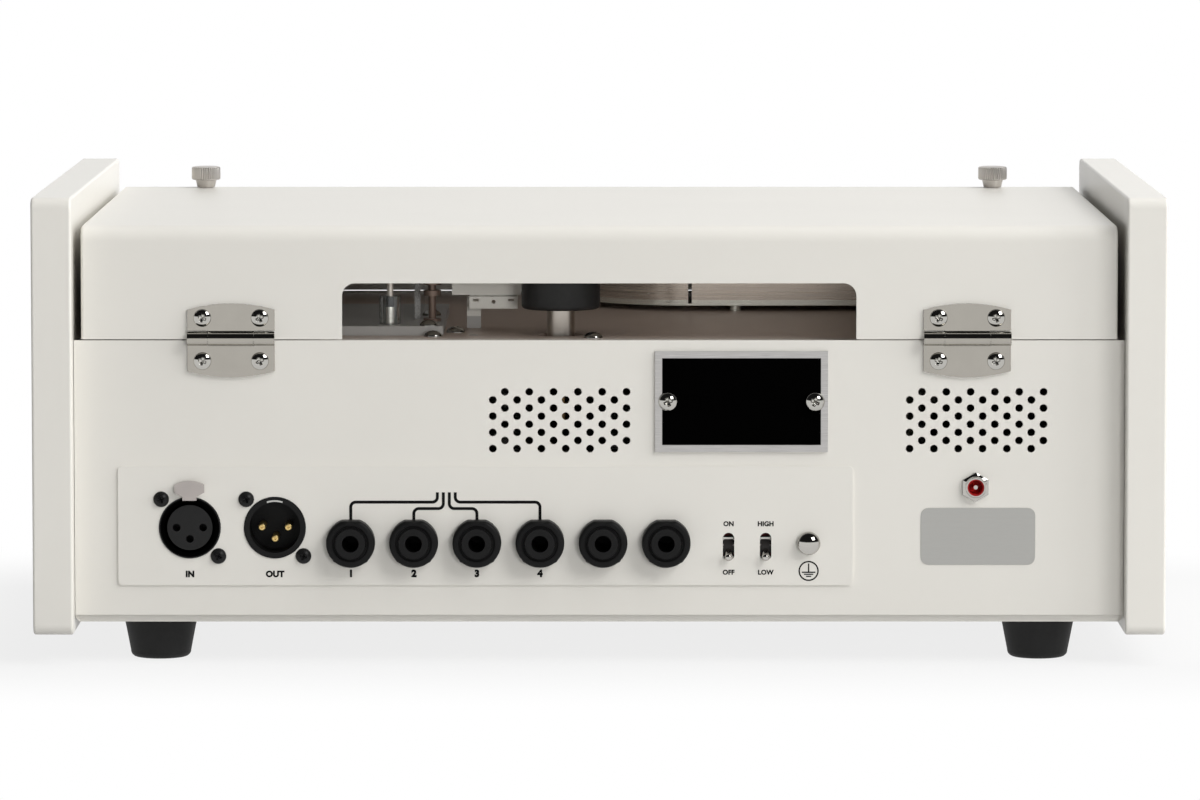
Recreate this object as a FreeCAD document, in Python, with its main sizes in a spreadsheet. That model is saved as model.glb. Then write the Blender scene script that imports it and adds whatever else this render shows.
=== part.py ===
import FreeCAD, Part

import math
import os

import Sketcher
from FreeCAD import Placement, Rotation, Vector

# A tape echo unit. +X is the right-hand side seen from the control panel, +Y points to the
# connector panel at the back, +Z is up. The origin is on the floor, under the middle of the unit.
# Every size is a cell of the spreadsheet. Pieces of the back are drawn as seen from behind:
# their own x runs to the viewer's right, their own y runs up and their own z runs outwards.

SIZES = (
    # the whole unit
    ("overall_width", 436.0, "over the outside of the two cheeks"),
    ("overall_depth", 282.0, "front to back edge of a cheek"),
    ("overall_height", 180.6, "floor to the top of a cheek"),
    ("cheek_thickness", 15.5, "one side cheek"),
    ("cheek_clearance", 11.8, "floor to the underside of a cheek"),
    ("cheek_corner", 4.0, "round at a cheek's four corners"),
    ("cheek_edge", 1.0, "round along a cheek's edges"),
    # folded sheet metal
    ("chassis_depth", 264.0, "front panel face to rear panel face"),
    ("sheet_thickness", 1.5, "every folded panel"),
    ("panel_bend", 3.0, "outside bend at the foot of a panel"),
    ("panel_lip", 12.0, "lip of a panel under the tray"),
    ("panel_gap", 0.2, "slip gap between sheet metal parts"),
    ("parting_level", 125.2, "top edge of the panels"),
    ("parting_gap", 0.4, "panel edge to lid edge"),
    ("deck_drop", 0.7, "deck below the panels' top edge"),
    ("side_flange", 18.0, "tray flange under the deck"),
    ("lid_level", 169.3, "top of the lid"),
    ("lid_side_gap", 3.0, "lid to cheek"),
    ("lid_bend", 6.0, "outside bend round the lid"),
    ("lid_seam", 1.2, "round along the lid's side edges"),
    ("window_half", 99.0, "half the width of the lid's rear window"),
    ("window_level", 147.2, "top of the window"),
    ("window_corner", 5.0, "round of the window's upper corners"),
    # feet and their screws
    ("foot_height", 15.9, "floor to the tray"),
    ("foot_top", 28.7, "diameter against the tray"),
    ("foot_bottom", 23.5, "diameter on the floor"),
    ("foot_edge", 2.5, "round of the lower edge"),
    ("foot_spread", 170.7, "from the middle to a foot"),
    ("foot_inset", 24.0, "panel face to the middle of a foot"),
    ("foot_recess", 9.0, "diameter of the recess for the screw head"),
    ("foot_floor", 6.0, "depth of that recess"),
    ("screw_head", 7.5, "head diameter of the chassis screws"),
    ("screw_head_height", 2.4, "their head height"),
    ("screw_shank", 4.0, "their shank"),
    ("screw_length", 11.5, "their length under the head"),
    ("screw_slack", 0.2, "hole larger than a screw, on the radius"),
    ("pan_rim", 0.4, "upright rim of a pan head, as a share of its height"),
    ("pan_shoulder", 0.9, "level where its crown begins, as a share of its height"),
    ("pan_crown", 0.5, "its flat crown, as a share of its width"),
    ("pan_round", 0.4, "round between rim and crown, as a share of its width"),
    ("deck_screw_spread", 100.0, "deck screws front and back of the middle"),
    ("deck_screw_1_across", 64.6, "screw behind the head plate"),
    ("deck_screw_1_inset", 28.1, "rear face to that screw"),
    ("deck_screw_2_across", 56.2, "screw beside the head plate"),
    ("deck_screw_2_inset", 48.7, "rear face to that screw"),
    ("deck_screw_3_across", 2.4, "screw beside the roller"),
    ("deck_screw_3_inset", 21.5, "rear face to that screw"),
    ("plate_screw_across", 66.5, "screws through the head plate"),
    ("plate_screw_inset", 36.6, "rear face to the nearer one"),
    ("plate_screw_pitch", 52.0, "one to the other"),
    # hinges
    ("hinge_spread", 141.65, "from the middle to a hinge"),
    ("hinge_width", 33.6, "along the pin"),
    ("leaf_thickness", 1.2, "hinge leaf"),
    ("leaf_top", 139.5, "top of the lid leaf"),
    ("leaf_bottom", 111.0, "foot of the base leaf"),
    ("leaf_arch", 2.4, "rise of a leaf's arched edge"),
    ("pin_level", 126.1, "hinge axis above the floor"),
    ("barrel", 5.4, "knuckle diameter"),
    ("hinge_pin", 2.4, "pin diameter"),
    ("pin_fit", 0.05, "radial clearance round a turning pin or shaft"),
    ("knuckle", 17.5, "length of the middle knuckle"),
    ("knuckle_gap", 0.15, "between knuckles"),
    ("moving_gap", 0.3, "between faces that pass each other"),
    ("hinge_screw_spread", 11.05, "hinge screws each side of a leaf's middle"),
    ("hinge_screw_upper", 133.9, "lid leaf screws"),
    ("hinge_screw_lower", 117.3, "base leaf screws"),
    ("hinge_screw_head", 6.8, "head diameter"),
    ("hinge_screw_height", 1.5, "head height"),
    ("hinge_screw_shank", 3.0, "shank"),
    ("hinge_screw_length", 5.0, "length under the head"),
    # plates on the rear panel
    ("connector_left", -185.6, "connector plate edges"),
    ("connector_right", 97.9, "connector plate edges"),
    ("connector_bottom", 30.5, "connector plate edges"),
    ("connector_top", 76.6, "connector plate edges"),
    ("connector_plate_thickness", 0.8, "raised connector plate"),
    ("plate_corner", 2.0, "corner round of the plates"),
    ("name_left", 21.5, "name plate edges"),
    ("name_right", 88.1, "name plate edges"),
    ("name_bottom", 82.1, "name plate edges"),
    ("name_top", 121.1, "name plate edges"),
    ("name_thickness", 1.2, "name plate"),
    ("name_rim", 2.7, "bright rim round the dark field"),
    ("name_recess", 0.3, "depth of the dark field"),
    ("name_screw_inset", 5.0, "plate edge to screw"),
    # vents
    ("vent_hole", 3.0, "diameter of a vent hole"),
    ("vent_pitch", 9.37, "holes along a row"),
    ("vent_row", 3.14, "row to row"),
    ("vent_top", 105.3, "highest row"),
    ("vent_middle_left", -17.6, "middle of the first field, lower rows"),
    ("vent_right_left", 143.05, "middle of the second field, lower rows"),
    # XLR connectors
    ("xlr_input_place", -157.9, "across the panel"),
    ("xlr_output_place", -125.1, "across the panel"),
    ("xlr_level", 52.8, "above the floor"),
    ("xlr_hole", 24.0, "cut-out diameter"),
    ("xlr_slack", 0.15, "housing to cut-out, on the radius"),
    ("xlr_proud", 1.2, "housing rim above the panel"),
    ("xlr_depth", 20.0, "housing behind the panel"),
    ("xlr_flange_width", 26.0, "flange behind the panel"),
    ("xlr_flange_height", 31.0, "flange behind the panel"),
    ("xlr_flange_thickness", 1.6, "flange behind the panel"),
    ("xlr_insert", 17.5, "diameter of the input's insert"),
    ("xlr_cavity", 19.6, "inside diameter of a housing"),
    ("xlr_cavity_depth", 15.0, "depth of that cavity"),
    ("xlr_contact", 3.0, "contact hole diameter"),
    ("xlr_contact_depth", 12.0, "contact hole depth"),
    ("xlr_pin", 2.9, "diameter of an output pin"),
    ("xlr_pin_round", 0.87, "round of its tip"),
    ("xlr_pin_spread", 5.1, "outer contacts each side"),
    ("xlr_pin_drop", 4.4, "middle contact below"),
    ("xlr_pin_sink", 1.0, "pin tip below the panel face"),
    ("xlr_screw_offset", 11.0, "fixing screws across and up"),
    ("xlr_screw_head", 6.1, "their head"),
    ("xlr_screw_height", 2.1, "their head height"),
    ("xlr_screw_shank", 3.0, "their shank"),
    ("xlr_screw_length", 7.0, "length under the head"),
    ("tab_width", 11.5, "release tab"),
    ("tab_height", 6.0, "release tab"),
    ("tab_neck", 6.0, "neck of the tab"),
    ("tab_thickness", 1.4, "release tab"),
    ("tab_bottom", 12.35, "tab above the socket's middle"),
    ("tab_travel", 1.0, "push of the release tab"),
    ("tab_stem", 1.0, "stem of the tab, into the socket"),
    ("tab_stem_depth", 6.0, "stem behind the panel face"),
    # jacks
    ("jack_first", -95.8, "first jack across the panel"),
    ("jack_pitch", 24.32, "jack to jack"),
    ("jack_level", 47.2, "above the floor"),
    ("jack_bore", 6.5, "plug hole"),
    ("jack_bush", 11.6, "threaded bush"),
    ("jack_bush_proud", 8.6, "bush in front of the panel"),
    ("jack_body", 15.6, "side of the body behind the panel"),
    ("jack_body_depth", 24.0, "body behind the panel"),
    ("jack_nut", 18.8, "nut diameter"),
    ("jack_nut_height", 6.8, "nut height on the connector plate"),
    ("jack_nut_edge", 1.2, "round of the nut's rim"),
    # rear switches, earth terminal and supply inlet
    ("tape_stop_place", 49.9, "first switch across the panel"),
    ("output_level_place", 64.2, "second switch across the panel"),
    ("slot_level", 45.4, "middle of a slot"),
    ("slot_width", 4.4, "slot across"),
    ("slot_height", 10.8, "slot up and down"),
    ("switch_width", 9.0, "switch body"),
    ("switch_height", 14.0, "switch body"),
    ("switch_depth", 11.0, "switch body"),
    ("switch_well", 5.0, "hollow in front of the pivot"),
    ("switch_wall", 1.2, "wall of a switch body"),
    ("lever_root", 2.4, "diameter at the pivot"),
    ("lever_tip", 3.1, "diameter of the tip"),
    ("lever_length", 10.5, "pivot to the middle of the tip"),
    ("lever_shoulder", 57.0, "degrees from the axis where the lever meets its ball"),
    ("switch_axle", 1.2, "axle of a lever in its switch body"),
    ("lever_tilt", 21.0, "degrees below level at rest"),
    ("earth_place", 80.8, "earth terminal across the panel"),
    ("earth_level", 46.9, "above the floor"),
    ("earth_head", 8.8, "its head"),
    ("earth_proud", 5.0, "head height"),
    ("earth_edge", 2.2, "round of the head"),
    ("inlet_place", 145.1, "supply inlet across the panel"),
    ("inlet_level", 68.5, "above the floor"),
    ("inlet_nut", 9.9, "nut across flats"),
    ("inlet_nut_height", 2.4, "nut height"),
    ("inlet_barrel", 8.0, "threaded barrel"),
    ("inlet_proud", 3.4, "barrel in front of the panel"),
    ("inlet_insulator", 6.5, "red insulator"),
    ("inlet_throat", 5.5, "opening in the insulator"),
    ("inlet_depth", 14.0, "inlet behind the panel"),
    ("inlet_socket_depth", 10.0, "depth of the opening"),
    ("inlet_pin", 2.1, "centre pin"),
    # lid thumbscrews
    ("thumb_spread", 164.8, "from the middle to a thumbscrew"),
    ("thumb_inset", 12.0, "front panel face to a thumbscrew"),
    ("thumb_head", 12.0, "knurled head"),
    ("thumb_head_height", 5.5, "knurled head"),
    ("thumb_shoulder", 8.8, "shoulder under the head"),
    ("thumb_foot", 7.4, "foot of the shoulder, on the lid"),
    ("thumb_shoulder_height", 3.1, "shoulder height"),
    ("thumb_neck", 5.0, "neck under the shoulder"),
    ("thumb_shank", 4.0, "threaded end"),
    ("thumb_reach", 6.0, "threaded end below the lid"),
    ("pillar_width", 11.0, "pillar that takes the screw"),
    ("pillar_bore", 6.2, "its clearance bore, which lets the lid swing"),
    ("pillar_bore_depth", 12.0, "depth of that bore"),
    # front panel
    ("knob_skirt", 23.0, "diameter of a small knob at the panel"),
    ("knob_cap", 15.0, "diameter of its grip"),
    ("knob_skirt_height", 3.5, "skirt height"),
    ("knob_height", 16.0, "knob height"),
    ("selector_skirt", 46.0, "mode selector at the panel"),
    ("selector_cap", 30.0, "its grip"),
    ("selector_height", 21.0, "its height"),
    ("knob_gap", 0.8, "panel to knob"),
    ("knob_upper", 92.0, "upper row of knobs"),
    ("knob_lower", 46.0, "lower row of knobs"),
    ("knob_pitch", 42.0, "knobs along a row"),
    ("knob_first", 66.0, "first knob of the right-hand group"),
    ("input_knob_place", -168.0, "input volume knobs"),
    ("selector_place", -8.0, "mode selector"),
    ("selector_level", 69.0, "mode selector"),
    ("pot_shaft", 6.0, "shaft of every control"),
    ("pot_bush", 8.0, "bush of every control"),
    ("pot_bush_proud", 0.5, "bush in front of the panel"),
    ("pot_body", 17.0, "control body"),
    ("pot_depth", 9.0, "control body"),
    ("shaft_reach", 8.0, "shaft behind the panel face"),
    ("meter_place", -104.0, "level meter"),
    ("meter_level", 85.0, "level meter"),
    ("meter_width", 64.0, "meter bezel"),
    ("meter_height", 46.0, "meter bezel"),
    ("meter_rim", 4.0, "bezel round the window"),
    ("meter_proud", 4.0, "bezel in front of the panel"),
    ("meter_depth", 20.0, "case behind the panel"),
    ("meter_dial_depth", 3.0, "window to dial"),
    ("meter_corner", 3.0, "bezel corners"),
    ("meter_glass", 1.0, "window thickness"),
    ("needle_length", 26.0, "needle from its pivot"),
    ("needle_width", 0.8, "needle"),
    ("needle_thickness", 0.4, "needle"),
    ("needle_hub", 4.0, "needle hub"),
    ("needle_tilt", 42.0, "degrees from upright at rest"),
    ("needle_pivot_drop", 13.0, "pivot below the meter's middle"),
    ("lamp_place", -128.0, "pilot lamp"),
    ("lamp_level", 42.0, "pilot lamp and power switch"),
    ("lamp_lens", 11.0, "lens diameter"),
    ("lamp_bezel", 8.0, "lamp body through the panel"),
    ("lamp_height", 6.0, "lens in front of the panel"),
    ("lamp_rim", 2.0, "straight rim of the lens"),
    ("power_place", -84.0, "power switch"),
    ("power_slot_height", 14.0, "its slot"),
    ("power_slot_width", 6.0, "its slot"),
    ("power_lever_length", 21.0, "pivot to the tip"),
    ("power_lever_root", 3.2, "diameter at the pivot"),
    ("power_lever_tip", 5.0, "diameter of the tip"),
    # tape transport
    ("capstan_across", 15.0, "capstan and pinch roller across the deck"),
    ("roller_inset", 40.0, "rear face to the pinch roller"),
    ("roller", 30.7, "pinch roller diameter"),
    ("roller_bottom", 134.5, "lower face of the roller"),
    ("roller_height", 18.0, "roller height"),
    ("roller_edge", 1.6, "round of the roller's edges"),
    ("roller_post", 10.9, "post of the roller on its arm"),
    ("roller_axle", 5.0, "axle inside the roller"),
    ("tape_gap", 0.9, "capstan to roller, with the tape between"),
    ("capstan", 6.0, "capstan diameter"),
    ("capstan_top", 156.0, "top of the capstan"),
    ("flywheel", 72.0, "flywheel diameter"),
    ("flywheel_height", 12.0, "flywheel height"),
    ("flywheel_level", 68.0, "underside of the flywheel"),
    ("bearing_tube", 10.5, "capstan bearing tube"),
    ("bearing_flange", 18.0, "its flange under the deck"),
    ("bearing_flange_height", 2.5, "its flange under the deck"),
    ("bearing_length", 38.0, "deck to the lower end of the tube"),
    ("bearing_proud", 0.5, "tube above the deck"),
    ("arm_pivot_across", 49.0, "pinch arm pivot across the deck"),
    ("arm_pivot_inset", 35.0, "rear face to the pinch arm pivot"),
    ("arm_pivot", 6.0, "shoulder screw that the pinch arm turns on"),
    ("arm_pivot_head", 9.0, "head of that screw"),
    ("arm_pivot_head_height", 1.2, "head of that screw"),
    ("arm_thickness", 2.5, "pinch arm plate"),
    ("arm_width", 13.0, "pinch arm plate"),
    ("arm_drop", 0.6, "underside of the deck to the pinch arm"),
    ("arm_travel", 4.8, "travel of the roller's post when the arm swings"),
    ("arm_opening", 18.0, "round opening of the deck for the roller's post"),
    ("motor_across", 92.0, "motor across the deck"),
    ("motor_inset", 88.0, "rear face to the motor"),
    ("motor", 42.0, "motor diameter"),
    ("motor_height", 36.0, "motor height"),
    ("motor_boss", 12.0, "boss round the motor shaft"),
    ("pulley", 14.0, "motor pulley"),
    ("pulley_bore", 3.2, "pulley on the motor shaft"),
    ("belt_thickness", 1.0, "drive belt"),
    ("belt_height", 5.0, "drive belt"),
    ("head_plate_left", 60.8, "raised head plate"),
    ("head_plate_edge", 9.0, "tape at the right-hand guides to the raised head plate"),
    ("head_plate_front", 150.0, "rear face to its front edge"),
    ("head_plate_back", 32.4, "rear face to its back edge"),
    ("head_plate_height", 3.6, "raised head plate"),
    ("head_width", 11.0, "one head across"),
    ("head_depth", 14.0, "one head front to back"),
    ("head_top", 154.0, "top of the heads"),
    ("head_pitch", 15.5, "head to head"),
    ("head_run", 19.8, "tape at the right-hand guides to the middle of the last head"),
    ("head_nose", 3.0, "round nose of a head"),
    ("block_left", 30.8, "head block beside the capstan"),
    ("block_right", 57.8, "head block beside the capstan"),
    ("block_bottom", 138.6, "head block beside the capstan"),
    ("block_depth", 12.0, "head block beside the capstan"),
    ("lip_left", 32.0, "lip of the block's bracket"),
    ("lip_right", 51.0, "lip of the block's bracket"),
    ("lip_bottom", 133.2, "lip of the block's bracket"),
    ("lip_thickness", 1.5, "lip of the block's bracket"),
    ("lip_hole", 1.6, "hole in the middle of the lip"),
    ("lip_hole_drop", 2.7, "block to the middle of that hole"),
    ("lip_notch_width", 2.2, "notch near each end of the lip"),
    ("lip_notch_height", 0.9, "notch near each end of the lip"),
    ("lip_notch_inset", 1.5, "end of the lip to a notch"),
    ("lip_notch_drop", 2.5, "block to the foot of a notch"),
    ("bracket_thickness", 1.0, "flat of the bracket"),
    ("bracket_gap", 0.6, "shadow gap between block and bracket"),
    ("leg_width", 5.5, "leg of the bracket"),
    ("leg_thickness", 2.0, "leg of the bracket"),
    ("leg_across", 49.4, "leg across the deck"),
    ("leg_inset", 70.0, "rear face to the leg"),
    ("rod_across", 81.8, "rod on the head plate, across the deck"),
    ("rod_inset", 46.7, "rear face to the rod"),
    ("rod_foot", 3.4, "its lower part"),
    ("rod_neck", 2.4, "its upper part"),
    ("rod_shoulder_level", 134.7, "where it steps in"),
    ("rod_sleeve", 8.5, "clear sleeve round the rod"),
    ("rod_sleeve_top", 138.9, "top of the sleeve"),
    ("rod_sleeve_wall", 1.2, "wall of the sleeve"),
    ("guard_left", 70.5, "clear guard on the head plate, across the deck"),
    ("guard_thickness", 2.3, "clear guard"),
    ("guard_inset", 69.5, "rear face to the guard"),
    ("guard_depth", 72.0, "guard front to back"),
    ("guard_top", 156.0, "top of the guard"),
    ("tape_width", 6.35, "quarter-inch tape"),
    ("tape_level", 144.0, "lower edge of the tape"),
    ("tape_thickness", 0.3, "tape, thickened so that it can be made"),
    ("guide", 4.5, "tape guide"),
    ("guide_flange", 7.0, "flanges of a guide"),
    ("guide_flange_height", 1.2, "flanges of a guide"),
    ("guide_post", 3.0, "post of a guide"),
    ("guide_collar_level", 138.3, "locking collar under a guide"),
    ("guide_collar_height", 2.0, "locking collar under a guide"),
    ("guide_middle", 65.6, "guide on the head plate, across the deck"),
    ("guide_clearance", 12.5, "right-hand cheek to the tape at its guides"),
    ("guide_inset", 227.0, "rear face to the front run of the tape"),
    ("tank_left", -152.0, "tape tank outside"),
    ("tank_right", 8.2, "tape tank outside"),
    ("tank_front", 251.0, "rear face to the tank's front"),
    ("tank_inset", 159.4, "rear face to the tank's back"),
    ("tank_corner", 14.0, "round of the tank's corners"),
    ("tank_bend", 45.0, "wide bend of the tank's wall, where the tape goes in"),
    ("tank_wall", 1.0, "tank wall"),
    ("tank_lift", 2.2, "deck to the tank"),
    ("tank_top", 155.0, "top of the tank"),
    ("tank_floor", 1.5, "floor of the tank"),
    ("tank_slot", 1.5, "slot that lets the tape through"),
    ("tank_slot_across", -36.9, "where the tape goes in"),
    ("tank_peg", 4.5, "pegs under the tank's wall"),
    ("tank_peg_across", -55.4, "visible peg, across the deck"),
    ("tank_peg_spread", 77.0, "that peg to the next one"),
    ("fold_inset", 6.0, "tank wall to the loose folds"),
    ("fold_rise", 14.0, "front run to the loose folds"),
    ("fold_exit", 10.0, "last fold to the run that leaves the tank"),
    ("cover_thickness", 2.0, "clear cover of the tank"),
    # electronics
    ("board_width", 230.0, "main board"),
    ("board_depth", 150.0, "main board"),
    ("board_thickness", 1.6, "main board"),
    ("board_pillar", 6.0, "pillars of the main board"),
    ("board_lift", 8.0, "pillar height"),
    ("board_inset", 8.0, "board edge to a pillar"),
    ("board_across", -20.0, "middle of the board across the tray"),
)

REAR = Rotation(Vector(0, 1, 1), 180)
FRONT = Rotation(Vector(1, 0, 0), 90)
UPRIGHT = Rotation()

CONTROLS = (
    ("bass_knob", 0, "knob_upper"),
    ("treble_knob", 1, "knob_upper"),
    ("echo_volume_knob", 2, "knob_upper"),
    ("repeats_knob", 0, "knob_lower"),
    ("tape_speed_knob", 1, "knob_lower"),
)


class Length:
    """A number together with the spreadsheet expression that gives it."""

    def __init__(self, number, text):
        self.number = float(number)
        self.text = text

    def __add__(self, other):
        other = length(other)
        return Length(self.number + other.number, f"({self.text} + {other.text})")

    def __sub__(self, other):
        other = length(other)
        return Length(self.number - other.number, f"({self.text} - {other.text})")

    def __mul__(self, other):
        other = length(other)
        return Length(self.number * other.number, f"{self.text} * {other.text}")

    def __truediv__(self, other):
        other = length(other)
        return Length(self.number / other.number, f"{self.text} / ({other.text})")

    def __radd__(self, other):
        return length(other) + self

    def __rsub__(self, other):
        return length(other) - self

    def __rmul__(self, other):
        return length(other) * self

    def __neg__(self):
        return Length(-self.number, f"(0 - {self.text})")


def length(value):
    """A Length from a Length or a plain number."""
    if isinstance(value, Length):
        return value
    return Length(value, f"({float(value)!r})")


class Sheet:
    """The spreadsheet of sizes; each size reads as an attribute."""

    def __init__(self, document, rows):
        self.cells = document.addObject("Spreadsheet::Sheet", "Sizes")
        self.known = {}
        for row, (name, number, note) in enumerate(rows, start=1):
            self.cells.set(f"A{row}", name)
            self.cells.set(f"B{row}", str(number))
            self.cells.set(f"C{row}", note)
            self.cells.setAlias(f"B{row}", name)
            self.known[name] = Length(number, f"Sizes.{name}")
        document.recompute()

    def __getattr__(self, name):
        return self.known[name]


def bind(item, field, value):
    """Give a property its value, and tie it to the spreadsheet."""
    item.setExpression(field, length(value).text)


def place(item, spot, rotation=UPRIGHT):
    """Put an object at a spot whose coordinates are tied to the spreadsheet."""
    spot = [length(part) for part in spot]
    item.Placement = Placement(Vector(*(part.number for part in spot)), rotation)
    for axis, part in zip("xyz", spot):
        bind(item, f"Placement.Base.{axis}", part)


class Piece:
    """A PartDesign body. Its outlines lie in its own x-y plane and are padded along its z."""

    def __init__(self, name, spot=(0, 0, 0), rotation=UPRIGHT):
        self.body = document.addObject("PartDesign::Body", name)
        self.body.Label = name
        self.body.AllowCompound = True
        self.count = 0
        place(self.body, spot, rotation)

    def sketch(self, plane, offset):
        """An empty sketch on an origin plane, moved by offset in the plane's own directions."""
        self.count += 1
        sketch = self.body.newObject("Sketcher::SketchObject", f"{self.body.Name}_sketch_{self.count}")
        base = next(item for item in self.body.Origin.OriginFeatures if item.Role == plane)
        sketch.AttachmentSupport = [(base, "")]
        sketch.MapMode = "FlatFace"
        for axis, part in zip("xyz", offset):
            bind(sketch, f"AttachmentOffset.Base.{axis}", part)
        return sketch

    def feature(self, kind, sketch):
        """A PartDesign feature of a sketch, made the tip of the body."""
        self.count += 1
        feature = self.body.newObject(f"PartDesign::{kind}", f"{self.body.Name}_{kind}_{self.count}")
        feature.Profile = sketch
        return feature

    def pad(self, draw, low, high, plane="XY_Plane"):
        """Pad what draw puts in a sketch, between two levels along the plane's normal."""
        sketch = self.sketch(plane, (0, 0, low))
        draw(sketch)
        feature = self.feature("Pad", sketch)
        bind(feature, "Length", length(high) - low)
        return feature

    def cut(self, draw, low, high, plane="XY_Plane"):
        """Cut what draw puts in a sketch, between two levels along the plane's normal."""
        sketch = self.sketch(plane, (0, 0, high))
        draw(sketch)
        feature = self.feature("Pocket", sketch)
        bind(feature, "Length", length(high) - low)
        return feature

    def turn(self, profile, spot=(0, 0), kind="Revolution"):
        """Turn a profile of (radius, level) points about the upright line through a spot."""
        across, along = spot
        sketch = self.sketch("XZ_Plane", (across, 0, -length(along)))
        outline(sketch, profile)
        feature = self.feature(kind, sketch)
        feature.ReferenceAxis = (sketch, ["V_Axis"])
        feature.Angle = 360
        return feature

    def groove(self, profile, spot=(0, 0)):
        """Cut a turned profile."""
        return self.turn(profile, spot, "Groove")

    def row(self, feature, axis, pitch, count):
        """Repeat a feature backwards along one of the body's axes."""
        line = next(item for item in self.body.Origin.OriginFeatures if item.Role == axis)
        self.count += 1
        pattern = self.body.newObject("PartDesign::LinearPattern", f"{self.body.Name}_row_{self.count}")
        pattern.Originals = [feature]
        pattern.Direction = (line, [""])
        pattern.Reversed = True
        pattern.Mode = "Spacing"
        bind(pattern, "Offset", pitch)
        pattern.Occurrences = count
        self.body.Tip = pattern
        return pattern

    def soften(self, chosen, radius, kind="Fillet"):
        """Round (or chamfer) the tip's edges that the test picks."""
        document.recompute()
        base = self.body.Tip
        names = [f"Edge{number}" for number, edge in enumerate(base.Shape.Edges, start=1) if chosen(edge)]
        self.count += 1
        feature = self.body.newObject(f"PartDesign::{kind}", f"{self.body.Name}_{kind}_{self.count}")
        feature.Base = (base, names)
        bind(feature, "Radius" if kind == "Fillet" else "Size", radius)
        return feature


def outline(sketch, corners):
    """Draw a closed outline through corners, each tied to the spreadsheet.

    A corner is (x, y), or (x, y, radius) when an arc leads to it: a positive radius bends left
    of the way travelled, a negative one right, and the arc is the shorter one.
    """
    points = [(length(corner[0]), length(corner[1])) for corner in corners]
    first = sketch.GeometryCount
    for number, corner in enumerate(corners):
        start = Vector(*(part.number for part in points[number - 1]), 0)
        end = Vector(*(part.number for part in points[number]), 0)
        if len(corner) == 3:
            sketch.addGeometry(arc_between(start, end, length(corner[2]).number), False)
        else:
            sketch.addGeometry(Part.LineSegment(start, end), False)
    total = len(corners)
    for number, corner in enumerate(corners):
        edge = first + number
        following = first + (number + 1) % total
        bends_left = len(corner) == 2 or length(corner[2]).number > 0
        after = corners[(number + 1) % total]
        next_left = len(after) == 2 or length(after[2]).number > 0
        finish = 2 if bends_left else 1
        begin = 1 if next_left else 2
        sketch.addConstraint(Sketcher.Constraint("Coincident", edge, finish, following, begin))
        tie_point(sketch, edge, finish, points[number])
        if len(corner) == 3:
            radius = length(corner[2])
            radius = radius if radius.number > 0 else -radius
            tie(sketch, Sketcher.Constraint("Radius", edge, radius.number), radius)


def arc_between(start, end, radius):
    """The shorter arc from start to end; FreeCAD's arcs run anticlockwise, so some start at end."""
    chord = end - start
    middle = (start + end) * 0.5
    rise = math.sqrt(max(radius * radius - chord.Length ** 2 / 4, 0.0))
    left = Vector(-chord.y, chord.x, 0)
    left.normalize()
    center = middle + left * (rise if radius > 0 else -rise)
    circle = Part.Circle(center, Vector(0, 0, 1), abs(radius))
    ends = (start, end) if radius > 0 else (end, start)
    angles = [math.atan2(point.y - center.y, point.x - center.x) for point in ends]
    if angles[1] < angles[0]:
        angles[1] += 2 * math.pi
    return Part.ArcOfCircle(circle, angles[0], angles[1])


def tie(sketch, constraint, value):
    """Add a constraint and tie its value to the spreadsheet."""
    number = sketch.addConstraint(constraint)
    sketch.setExpression(f"Constraints[{number}]", length(value).text)


def tie_point(sketch, edge, end, point):
    """Fix one end of an edge (or a circle's middle, end 3) across and up from the origin."""
    for kind, part in zip(("DistanceX", "DistanceY"), point):
        tie(sketch, Sketcher.Constraint(kind, -1, 1, edge, end, part.number), part)


def ring(sketch, across, up, diameter):
    """Draw a circle."""
    across, up, radius = length(across), length(up), length(diameter) / 2
    circle = Part.Circle(Vector(across.number, up.number, 0), Vector(0, 0, 1), radius.number)
    number = sketch.addGeometry(circle, False)
    tie(sketch, Sketcher.Constraint("Radius", number, radius.number), radius)
    tie_point(sketch, number, 3, (across, up))


def box(sketch, left, bottom, right, top):
    """Draw a rectangle."""
    outline(sketch, [(left, bottom), (right, bottom), (right, top), (left, top)])


def slot(sketch, across, up, width, height):
    """Draw an upright slot with round ends."""
    half = width / 2
    reach = height / 2 - half
    outline(sketch, [(across + half, up - reach, half), (across + half, up + reach),
                     (across, up + reach + half, half), (across - half, up + reach, half),
                     (across - half, up - reach), (across, up - reach - half, half)])


def circles(spots, diameter):
    """A drawing of one circle at each spot."""
    def draw(sketch):
        for across, up in spots:
            ring(sketch, across, up, diameter)
    return draw


def rectangle(left, bottom, right, top):
    """A drawing of one rectangle."""
    return lambda sketch: box(sketch, left, bottom, right, top)


def rounded(left, bottom, right, top, radius):
    """A drawing of one rectangle with round corners."""
    return shape((left + radius, bottom, radius), (right - radius, bottom),
                 (right, bottom + radius, radius), (right, top - radius),
                 (right - radius, top, radius), (left + radius, top),
                 (left, top - radius, radius), (left, bottom + radius))


def shape(*corners):
    """A drawing of one outline."""
    return lambda sketch: outline(sketch, corners)


def runs_along(axis):
    """A test for straight edges along an axis."""
    def test(edge):
        if edge.Degenerated or not isinstance(edge.Curve, Part.Line):
            return False
        return abs(getattr(edge.tangentAt(edge.FirstParameter), axis)) > 0.999
    return test


def both(*tests):
    """A test that passes where every given test does."""
    return lambda edge: all(test(edge) for test in tests)


def middle_at(axis, value, reach=0.01):
    """A test for edges whose middle lies at a value along an axis."""
    number = length(value).number
    return lambda edge: not edge.Degenerated and abs(getattr(edge.CenterOfMass, axis) - number) < reach


def beyond(axis, value):
    """A test for edges whose middle lies beyond a value along an axis."""
    number = length(value).number
    return lambda edge: not edge.Degenerated and getattr(edge.CenterOfMass, axis) > number


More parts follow.
